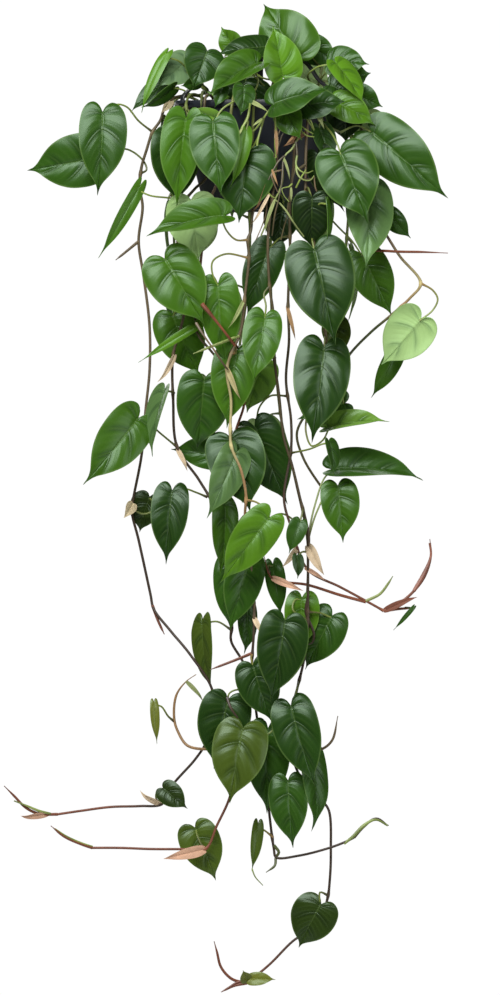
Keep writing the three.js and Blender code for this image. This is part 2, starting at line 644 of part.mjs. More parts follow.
    leaves: [
      ['l1', [165, 53, -34], [141, 110, -40], 13, -25, 10,
        [[188, 68, -22], [178, 59, -30]]],
      ['l2', [170, 76, -14], [130, 109, -18], 24, -30, 16,
        [[192, 74, -21], [178, 68, -18]]],
      ['l3', [188, 58, -10], [156, 86, -34], 36, -10, 12,
        [[204, 87, -19], [198, 70, -16]]],
      ['l4', [199, 80, -44], [181, 85, -50], 16, 20, 14,
        [[207, 90, -18], [207, 87, -36]]],
      ['l5', [174, 86, -32], [142, 106, -38], 20, 50, 16,
        [[208, 91, -18], [192, 93, -26], [182, 88, -29]]],
    ],
  },
  {
    name: 'left_front_shoot',
    stem: [[232, 130, -36], [232, 112, -36], [226, 94, -46], [216, 72, -48]],
    shoots: [
      [[204, 90, -46], [202, 93, -62], [201, 108, -79]],
    ],
    bracts: [],
    leaves: [
      ['m1', [207, 50, -52], [193, 88, -60], 42, 8, 12,
        [[216, 72, -48], [212, 58, -48]]],
      ['m2', [223, 86, -68], [215, 107, -72], 15, 0, 14,
        [[224, 90, -47], [224, 84, -56]]],
      ['m3', [226, 96, -47], [204, 90, -46], 5, 0, 10,
        [[228, 100, -43], [224, 96, -46]]],
    ],
  },
  {
    name: 'top_shoot',
    stem: [[266, 130, -14], [266, 112, -14], [270, 90, -26], [276, 76, -34], [280, 66, -38]],
    shoots: [],
    bracts: [],
    leaves: [
      ['n1', [268, 45, -34], [216, 53, -42], 34, -42, 14,
        [[274, 80, -32], [270, 62, -34]]],
      ['n2', [235, 47, -24], [221, 25, -22], 27, 15, 24,
        [[270, 90, -26], [252, 72, -30], [238, 58, -28]]],
      ['n3', [297, 57, -36], [264, 2, -12], 62, 5, 10,
        [[280, 66, -38], [287, 56, -38]]],
      ['n4', [283, 76, -55], [273, 25, -52], 48, -22, 30,
        [[276, 76, -34], [282, 80, -46], [286, 76, -54]]],
      ['n5', [246, 77, -24], [237, 108, -30], 58, 0, 12,
        [[270, 90, -26], [254, 82, -25]]],
    ],
  },
  {
    name: 'right_crown_shoot',
    stem: [[312, 130, -16], [312, 112, -16], [316, 92, -20], [320, 78, -20], [322, 66, -16]],
    shoots: [],
    bracts: [],
    leaves: [
      ['o1', [308, 42, -10], [338, 60, -10], 32, 0, 12,
        [[322, 66, -16], [312, 54, -12]]],
      ['o2', [331, 60, -36], [369, 63, -40], 36, 25, 14,
        [[320, 78, -20], [328, 68, -30]]],
      ['o3', [342, 74, -14], [371, 71, -16], 36, -10, 14,
        [[320, 80, -20], [332, 78, -16]]],
      ['o4', [336, 62, -56], [363, 104, -64], 36, 50, 16,
        [[317, 88, -20], [308, 74, -42], [318, 66, -52], [328, 64, -56]]],
      ['o5', [330, 84, -52], [364, 100, -54], 34, 20, 12,
        [[316, 92, -20], [320, 90, -38]]],
      ['o6', [354, 92, -24], [383, 105, -26], 28, 0, 14,
        [[314, 100, -18], [336, 90, -20]]],
      ['o7', [335, 101, -62], [375, 124, -62], 32, 15, 14,
        [[315, 97, -19], [326, 94, -44], [338, 98, -58]]],
      ['o8', [346, 100, -51], [346, 142, -48], 42, 0, 12,
        [[316, 92, -20], [333, 88, -23], [345, 91, -36]]],
    ],
  },
  {
    name: 'front_crown_shoot',
    stem: [[280, 130, -44], [280, 112, -44], [282, 94, -57], [283, 92, -70]],
    shoots: [],
    bracts: [],
    leaves: [
      ['p1', [300, 106, -84], [346, 101, -82], 34, 20, 14,
        [[283, 92, -70], [291, 93, -84], [296, 100, -85]]],
      ['p2', [284, 108, -90], [301, 140, -96], 30, -10, 14,
        [[283, 92, -69], [284, 96, -84], [284, 102, -88]]],
    ],
  },
  {
    name: 'back_left_vine',
    stem: [[236, 130, 52], [236, 112, 52], [237, 95, 64], [240, 96, 80], [245, 150, 86],
      [250, 230, 86], [247, 290, 84], [240, 340, 82], [231, 400, 80], [231, 445, 78],
      [242, 482, 76]],
    shoots: [],
    bracts: [],
    leaves: [
      ['q1', [226, 160, 91], [232, 214, 93], 44, 180, 12,
        [[244, 140, 85], [232, 150, 88]]],
      ['q2', [196, 213, 92], [196, 256, 96], 44, 180, 12,
        [[249, 214, 86], [222, 204, 90]]],
      ['q3', [222, 290, 92], [228, 356, 96], 38, 180, 12,
        [[247, 286, 84], [232, 282, 90]]],
      ['q4', [208, 380, 88], [202, 438, 92], 42, 180, 12,
        [[238, 352, 82], [218, 368, 86]]],
      ['q5', [234, 442, 86], [242, 502, 90], 50, 180, 12,
        [[231, 430, 79], [232, 436, 84]]],
    ],
  },
  {
    name: 'back_centre_vine',
    stem: [[272, 130, 56], [272, 112, 56], [275, 94, 66], [278, 93, 76], [280, 98, 85],
      [278, 150, 86], [271, 240, 86], [272, 310, 84], [275, 355, 84], [282, 420, 82],
      [296, 480, 80], [308, 540, 78], [308, 600, 76]],
    shoots: [],
    bracts: [],
    leaves: [
      ['r1', [262, 112, 98], [264, 180, 104], 46, 180, 12,
        [[280, 102, 85], [270, 104, 92]]],
      ['r7', [310, 186, 92], [322, 250, 96], 48, 180, 12,
        [[276, 176, 86], [296, 178, 90]]],
      ['r2', [312, 266, 94], [322, 322, 98], 36, 180, 12,
        [[271, 250, 86], [286, 248, 92]]],
      ['r3', [262, 320, 92], [256, 378, 94], 34, 180, 12,
        [[272, 312, 84], [267, 312, 90]]],
      ['r4', [262, 424, 90], [280, 492, 92], 42, 180, 12,
        [[281, 412, 82], [270, 414, 88]]],
      ['r5', [262, 522, 88], [234, 566, 90], 42, 180, 12,
        [[306, 530, 78], [282, 514, 86]]],
      ['r6', [284, 624, 84], [275, 684, 86], 42, 180, 12,
        [[308, 596, 76], [296, 612, 82]]],
    ],
  },
  {
    name: 'right_side_vine',
    stem: [[308, 130, 32], [308, 112, 32], [332, 94, 24], [346, 95, 20], [351, 104, 19],
      [352, 140, 18], [350, 200, 18], [346, 260, 18], [344, 320, 18], [332, 356, 20],
      [326, 380, 20]],
    shoots: [],
    bracts: [],
    leaves: [
      ['s1', [358, 146, 14], [354, 212, 10], 54, 100, 12,
        [[352, 132, 18], [356, 136, 16]]],
      ['s2', [368, 114, 44], [386, 170, 50], 46, 140, 12,
        [[351, 104, 19], [358, 102, 30], [364, 106, 40]]],
      ['s3', [354, 250, 14], [350, 318, 12], 46, 95, 12,
        [[348, 236, 18], [352, 240, 16]]],
      ['s4', [330, 356, 28], [326, 424, 30], 44, 150, 12,
        [[342, 328, 18], [336, 342, 24]]],
    ],
  },
  {
    name: 'left_side_vine',
    stem: [[212, 130, 20], [212, 112, 20], [190, 94, 21], [177, 95, 22], [171, 104, 22],
      [170, 150, 20], [172, 200, 20], [174, 250, 20], [177, 300, 20]],
    shoots: [],
    bracts: [],
    leaves: [
      ['t1', [166, 120, 26], [171, 186, 24], 44, -100, 12,
        [[171, 108, 22], [168, 110, 25]]],
      ['t2', [167, 206, 14], [172, 262, 10], 44, -90, 12,
        [[171, 190, 20], [168, 196, 17]]],
      ['t3', [170, 272, 24], [176, 332, 26], 40, -80, 12,
        [[175, 260, 20], [171, 264, 23]]],
    ],
  },
  {
    name: 'back_crown_shoot',
    stem: [[276, 130, 28], [276, 112, 28], [277, 90, 38], [280, 70, 42]],
    shoots: [],
    bracts: [],
    leaves: [
      ['u1', [284, 52, 36], [278, 12, 26], 48, 180, 12,
        [[280, 70, 42], [282, 60, 40]]],
      ['u2', [300, 66, 60], [334, 84, 82], 44, 180, 12,
        [[279, 78, 40], [290, 66, 52]]],
      ['u3', [248, 60, 56], [214, 74, 76], 42, 180, 12,
        [[279, 76, 41], [264, 74, 43], [252, 66, 50]]],
      ['u4', [308, 100, 96], [310, 160, 104], 42, 180, 12,
        [[278, 84, 39], [292, 84, 70], [302, 92, 90]]],
      ['u5', [262, 84, 16], [222, 90, 24], 46, -75, 12,
        [[277, 90, 38], [270, 86, 24]]],
      ['u6', [298, 86, 14], [334, 93, 22], 38, 75, 12,
        [[278, 82, 39], [288, 83, 26]]],
    ],
  },
];

// A stem tapers a little towards its end. Where it leaves the soil it stands upright.
const stemRadius = (share) => STEM_RADIUS * (1 - 0.25 * share);
const shootRadius = (share) => SHOOT_RADIUS + (SHOOT_TIP_RADIUS - SHOOT_RADIUS) * share;

function rootedStem(points) {
  const placed = points.map(place);
  placed[0].z = SOIL_TOP_Z - ROOT_DEPTH;
  placed[1].z = SOIL_TOP_Z + 1;
  return placed;
}

function leafSolid([, base, tip, width, roll, fold, stalk]) {
  const usual = width >= BROAD_LEAF ? BROAD_HALF : SMALL_HALF;
  const half = width < NARROW_LEAF ? NARROW_HALF : usual;
  const frame = bladeFrame(place(base), place(tip), roll);
  const leaf = bladeSkin(frame, width * VIEW_UNIT, fold, half, true);
  const centre = leaf.seat[1].clone().lerp(leaf.seat[2], 0.5);
  const rings = ringsAlong([...stalk.map(place), centre], () => STALK_RADIUS, STALK_SIDES);
  rings[rings.length - 1] = seatRing(leaf.seat, rings[rings.length - 2]);
  const stem = skinOf(rings, false);
  const shifted = leaf.triangles.map((corners) => corners.map((k) => k + stem.points.length));
  return solidOf(closedGeometry(
    [...stem.points, ...leaf.points],
    [...stem.triangles, ...shifted],
  ));
}

function bractSolid([base, tip, width, roll]) {
  const frame = bladeFrame(place(base), place(tip), roll);
  const bract = bladeSkin(frame, width * VIEW_UNIT, BRACT_FOLD, BRACT_HALF, false);
  return solidOf(closedGeometry(bract.points, bract.triangles));
}

function vineSolid(vine) {
  const parts = [solidOf(tube(rootedStem(vine.stem), stemRadius, STEM_SIDES))];
  for (const shoot of vine.shoots) {
    parts.push(solidOf(tube(shoot.map(place), shootRadius, SHOOT_SIDES)));
  }
  for (const bract of vine.bracts) {
    parts.push(bractSolid(bract));
  }
  for (const leaf of vine.leaves) {
    parts.push(leafSolid(leaf));
  }
  return joined(parts);
}

// Pot, soil and hanger

function onPot(radius, angle, z) {
  const a = toRadians(angle);
  return new Vector3(POT_X + radius * Math.cos(a), radius * Math.sin(a), z);
}

function box(width, depth, height, centre, angle) {
  const geometry = new THREE.BoxGeometry(width, depth, height);
  geometry.rotateZ(toRadians(angle));
  geometry.translate(centre.x, centre.y, centre.z);
  return solidOf(geometry);
}

// The radius of the inner wall at a height.
function insideRadius(z) {
  const outerTop = RIM_TOP_Z - RIM_BAND_HEIGHT;
  const slope = (POT_WALL_TOP_RADIUS - POT_BASE_RADIUS) / (outerTop - POT_BOTTOM_Z - 2);
  return POT_BASE_RADIUS + slope * (z - POT_BOTTOM_Z - 2) - POT_WALL;
}

function potSolid() {
  const bandBottom = RIM_TOP_Z - RIM_BAND_HEIGHT;
  const floor = POT_BOTTOM_Z + FOOT_RING_HEIGHT;
  const lip = RIM_TOP_Z - RIM_TOP_THICKNESS;
  const profile = [
    [0, floor],
    [POT_BASE_RADIUS - FOOT_RING_WIDTH, floor],
    [POT_BASE_RADIUS - FOOT_RING_WIDTH + 1, POT_BOTTOM_Z],
    [POT_BASE_RADIUS - 2, POT_BOTTOM_Z],
    [POT_BASE_RADIUS, POT_BOTTOM_Z + 2],
    [POT_WALL_TOP_RADIUS, bandBottom],
    [POT_RIM_RADIUS, bandBottom],
    [POT_RIM_RADIUS, RIM_TOP_Z],
    [insideRadius(lip) + 1, RIM_TOP_Z],
    [insideRadius(lip), lip],
    [insideRadius(INNER_FLOOR_Z), INNER_FLOOR_Z],
    [0, INNER_FLOOR_Z],
  ];
  let pot = solidOf(lathe(profile, POT_SIDES));
  for (let i = 0; i < DRAIN_HOLES; i += 1) {
    const drain = new THREE.CylinderGeometry(DRAIN_HOLE_RADIUS, DRAIN_HOLE_RADIUS, 20, 6);
    drain.rotateX(Math.PI / 2);
    const centre = onPot(DRAIN_CIRCLE_RADIUS, (360 / DRAIN_HOLES) * i, floor);
    drain.translate(centre.x, centre.y, centre.z);
    pot = pot.subtract(solidOf(drain));
  }
  const lugZ = RIM_TOP_Z - LUG_THICKNESS / 2;
  for (const angle of STRAP_ANGLES) {
    const lugCentre = onPot(POT_RIM_RADIUS + LUG_REACH / 2 - 2, angle, lugZ);
    const slotCentre = onPot(strapFootRadius(), angle, lugZ);
    const slotLength = STRAP_THICKNESS + 2 * CLEARANCE;
    const slotWidth = STRAP_WIDTH + 2 * CLEARANCE;
    pot = pot.add(box(LUG_REACH, LUG_WIDTH, LUG_THICKNESS, lugCentre, angle));
    pot = pot.subtract(box(slotLength, slotWidth, 3 * LUG_THICKNESS, slotCentre, angle));
  }
  return pot;
}

const strapFootRadius = () => POT_RIM_RADIUS + LUG_REACH / 2 - 1.5;

// One strap: a flat band from its slot up over the plant to the hub.
function strapSolid(angle) {
  const foot = strapFootRadius();
  const footTop = RIM_TOP_Z + 3;
  const footBottom = RIM_TOP_Z - LUG_THICKNESS - CLEARANCE - 2;
  const path = new THREE.CatmullRomCurve3([
    onPot(foot, angle, footTop - 1),
    onPot(foot * 0.76, angle, RIM_TOP_Z + 19),
    onPot(foot * 0.60, angle, RIM_TOP_Z + 34),
    onPot(foot * 0.28, angle, -HUB_DROP - 4),
    onPot(1, angle, -HUB_DROP),
  ]);
  const outward = onPot(1, angle, 0).sub(onPot(0, angle, 0));
  const turnsOutward = Math.abs(path.computeFrenetFrames(1, false).normals[0].dot(outward)) > 0.7;
  const half = STRAP_WIDTH / 2;
  const thin = STRAP_THICKNESS / 2;
  const [x, y] = turnsOutward ? [thin, half] : [half, thin];
  const section = new THREE.Shape([
    new Vector2(-x, -y), new Vector2(x, -y), new Vector2(x, y), new Vector2(-x, y),
  ]);
  const band = new THREE.ExtrudeGeometry(
    section, { steps: 6, bevelEnabled: false, extrudePath: path },
  );
  const footCentre = onPot(foot, angle, (footTop + footBottom) / 2);
  const barbCentre = onPot(foot, angle, footBottom + 1);
  return joined([
    solidOf(band),
    box(STRAP_THICKNESS, STRAP_WIDTH, footTop - footBottom, footCentre, angle),
    box(STRAP_THICKNESS + 2, STRAP_WIDTH + 2, 2, barbCentre, angle),
  ]);
}

function hangerSolid() {
  const hub = new THREE.CylinderGeometry(HUB_RADIUS * 0.6, HUB_RADIUS, HUB_HEIGHT, 10);
  hub.rotateX(Math.PI / 2);
  hub.translate(POT_X, 0, -HUB_DROP);
  const eye = [];
  for (let i = 0; i <= EYE_STEPS; i += 1) {
    const angle = -0.75 * Math.PI - (i / EYE_STEPS) * 1.6 * Math.PI;
    eye.push(new Vector3(
      (EYE_RADIUS + EYE_WIRE_RADIUS) * Math.cos(angle),
      0,
      -EYE_RADIUS + (EYE_RADIUS + EYE_WIRE_RADIUS) * Math.sin(angle),
    ));
  }
  const shaft = [new Vector3(POT_X, 0, -HUB_DROP), new Vector3(POT_X * 0.8, 0, -HUB_DROP + 9)];
  const wire = () => EYE_WIRE_RADIUS;
  return joined([
    ...STRAP_ANGLES.map(strapSolid),
    solidOf(hub),
    solidOf(tube([...shaft, ...eye], wire, 5)),
  ]);
}

function soilSolid() {
  const floor = INNER_FLOOR_Z + CLEARANCE;
  const radiusAt = (z) => insideRadius(z) - CLEARANCE;
  const profile = [
    [0, floor],
    [radiusAt(floor), floor],
    [radiusAt(SOIL_TOP_Z - 2), SOIL_TOP_Z - 2],
    [radiusAt(SOIL_TOP_Z) - 5, SOIL_TOP_Z],
    [0, SOIL_TOP_Z + 1],
  ];
  let soil = solidOf(lathe(profile, POT_SIDES));
  for (const vine of VINES) {
    const root = rootedStem(vine.stem)[0];
    const hole = new THREE.CylinderGeometry(
      STEM_RADIUS + 4 * CLEARANCE, STEM_RADIUS + 3 * CLEARANCE, ROOT_DEPTH + 8, HOLE_SIDES,
    );
    hole.rotateX(Math.PI / 2);
    hole.translate(root.x, root.y, root.z + (ROOT_DEPTH + 8) / 2 - CLEARANCE);
    soil = soil.subtract(solidOf(hole));
  }
  return soil;
}

// Materials

const finish = (color, roughness) =>
  new THREE.MeshStandardMaterial({ color, roughness, metalness: 0 });

const POT_PLASTIC = finish(0x24262a, 0.5);
const HANGER_PLASTIC = finish(0x1d1e21, 0.5);
const SOIL_PEAT = finish(0x2c2018, 0.95);
const LEAF_GREEN = finish(0x3f6b2c, 0.4);

// Assembly

const plant = new THREE.Group();

function addNode(name, solid, material) {
  const mesh = new THREE.Mesh(geometryOf(solid), material);
  mesh.name = name;
  plant.add(mesh);
}

addNode('pot', potSolid(), POT_PLASTIC);
addNode('hanger', hangerSolid(), HANGER_PLASTIC);
addNode('soil', soilSolid(), SOIL_PEAT);
for (const vine of VINES) {
  addNode(vine.name, vineSolid(vine), LEAF_GREEN);
}

export default plant;
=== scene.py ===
# Potted heartleaf philodendron in a hanging pot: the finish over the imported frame.
# Lengths are metres in the frame's own axes. Each leafy stem is one piece.

import math
import zlib

import bpy
import numpy as np
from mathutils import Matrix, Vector


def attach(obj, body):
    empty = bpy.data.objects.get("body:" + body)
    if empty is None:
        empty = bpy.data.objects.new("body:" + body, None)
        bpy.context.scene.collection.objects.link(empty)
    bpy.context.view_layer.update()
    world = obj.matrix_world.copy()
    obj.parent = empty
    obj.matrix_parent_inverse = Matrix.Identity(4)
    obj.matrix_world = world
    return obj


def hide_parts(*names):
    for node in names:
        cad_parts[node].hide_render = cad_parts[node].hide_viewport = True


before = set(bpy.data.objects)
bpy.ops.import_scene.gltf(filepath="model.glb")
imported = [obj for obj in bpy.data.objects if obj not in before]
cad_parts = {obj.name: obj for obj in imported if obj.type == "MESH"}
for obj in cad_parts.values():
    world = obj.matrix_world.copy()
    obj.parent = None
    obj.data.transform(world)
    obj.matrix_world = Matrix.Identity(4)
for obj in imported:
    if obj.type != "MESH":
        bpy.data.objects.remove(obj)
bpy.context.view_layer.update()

# The front view: u runs right and v runs down in steps of VIEW_UNIT, depth is in millimetres
VIEW_UNIT = 0.0009
MM = 0.001
EYE_U, EYE_V, POT_U = 274, 14, 260
FRAME_WIDTH, FRAME_HEIGHT = 500, 995

# The pot, the soil and the hanger, in millimetres and degrees, and how finely they are divided
POT_X = (POT_U - EYE_U) * 0.9
RIM_TOP_Z = -76.5
POT_HEIGHT = 99.0
POT_BOTTOM_Z = RIM_TOP_Z - POT_HEIGHT
RIM_RADIUS, WALL_TOP_RADIUS, BASE_RADIUS = 77.5, 73.5, 50.0
WALL, RIM_BAND, FLOOR_RISE = 1.8, 6.0, 3
BAND_Z = RIM_TOP_Z - RIM_BAND
WALL_FOOT_Z = POT_BOTTOM_Z + 2
WALL_SLOPE = (WALL_TOP_RADIUS - BASE_RADIUS) / (BAND_Z - WALL_FOOT_Z)
POT_SEGMENTS = 128
SOIL_TOP_Z = RIM_TOP_Z - 11.5
SOIL_RISE, SOIL_SINK = 5.2, 0.8
SOIL_SEED, SOIL_WAVES, SOIL_RINGS, SOIL_SEGMENTS = 7, 40, 34, 120
CRUMB_HEIGHT, CRUMB_LOW, CRUMB_HIGH = 0.16, -2.2, 1.8
CLEARANCE = 0.4
LUG_WIDTH, LUG_REACH, LUG_THICKNESS = 14.0, 9.0, 3.0
LUG_BEVEL, BEVEL_SEGMENTS, BEVEL_ANGLE, SHARP_ANGLE = 0.4, 2, 35, 50
STRAP_WIDTH, STRAP_THICKNESS, STRAP_EDGE, STRAP_STEP = 6.0, 2.0, 0.5, 2.5
STRAP_ANGLES = (210, 330, 90)
STRAP_FOOT = RIM_RADIUS + LUG_REACH / 2 - 1.5
HUB_DROP, HUB_SEGMENTS = 30.0, 40
EYE_RADIUS, EYE_WIRE, EYE_STEP, EYE_SIDES = 7.0, 1.8, 1.2, 14
# In half turns
EYE_START, EYE_SWEEP, EYE_POINTS = -0.75, 1.6, 15

# The plant, in millimetres, and how finely its skins are divided
ROOT_DEPTH, STEM_LIFT = 16.0, 1
STEM_RADIUS, STEM_STEP, STEM_SIDES = 1.35, 2.5, 9
SHOOT_RADIUS, SHOOT_TIP = 1.5, 0.4
STALK_RADIUS, STALK_SIDES = 0.95, 7
BLADE_THICKNESS, RIDGE_HEIGHT, SEAT_DEPTH = 0.5, 0.7, 0.9
ROWS, HALF_COLUMNS = 48, 9
BRACT_ROWS, BRACT_COLUMNS, BRACT_FOLD = 16, 4, 24
# A narrower blade is rolled or young and shows no side veins
PLAIN_WIDTH = 20
# A blade narrower than this number of VIEW_UNIT is waved less
CALM_WIDTH = 36

# The form of a blade, in shares of its length, width or half width
MIDRIB_ARCH, VEIN_BOW = 0.05, 0.045
GROOVE_DEPTH, GROOVE_REACH = 0.012, 0.07
RIDGE_REACH, SEAT_SHARE = 0.05, 0.035
OUTLINE_STEP, COLUMN_SPREAD, PLAIN_REACH = 0.004, 1.25, 0.12
LATERALS = 4
# The shares of a stem by which it thins, and by which it swells and pales at a node, and how far
# those reach, in metres
STEM_TAPER = 0.15
NODE_SWELLING, SWELLING_REACH = 0.42, 0.0032
NODE_LIGHT, LIGHT_REACH = 0.6, 0.003
WHITE = (1, 1, 1)

# Colours of leaves, stems and bracts, before each blade's own tone
COLOURS = {
    # "pale" is a whitish grey-green that paints the sheen of light glancing off its blade: a painted
    # highlight
    "olive": (0.019, 0.038, 0.004), "pale": (0.120, 0.200, 0.095), "wan": (0.370, 0.620, 0.240),
    # "sage" is a grey-green that is partly the blades' own colour and partly a painted sheen
    # "shade" is a near-black green for blades that lie in shadow behind others: painted shade
    "sage": (0.085, 0.165, 0.050), "shade": (0.008, 0.022, 0.003), "moss": (0.058, 0.095, 0.010),
    "deep": (0.014, 0.045, 0.004), "mid": (0.026, 0.080, 0.006), "fresh": (0.043, 0.120, 0.006),
    "bright": (0.076, 0.190, 0.009), "young": (0.150, 0.300, 0.040), "olive_stem": (0.075, 0.060, 0.024),
    "brown_stem": (0.048, 0.031, 0.019), "green_stem": (0.210, 0.290, 0.060),
    "tan_stem": (0.150, 0.112, 0.062), "red_stem": (0.190, 0.062, 0.030), "bract": (0.620, 0.500, 0.340),
    "brown_bract": (0.170, 0.090, 0.040), "tan_bract": (0.330, 0.200, 0.090),
    "pale_bract": (0.260, 0.320, 0.120), "pink_bract": (0.600, 0.370, 0.250),
    "red_bract": (0.240, 0.085, 0.050), "yellow_stem": (0.240, 0.310, 0.090),
    "straw": (0.400, 0.360, 0.170), "cream": (0.800, 0.680, 0.450), "khaki": (0.130, 0.150, 0.020),
    "dark_green_stem": (0.085, 0.110, 0.030),
}
# The tints of a stem with no row of its own for them
STEM_TINTS = ((0, COLOURS["green_stem"]), (1, COLOURS["dark_green_stem"]))

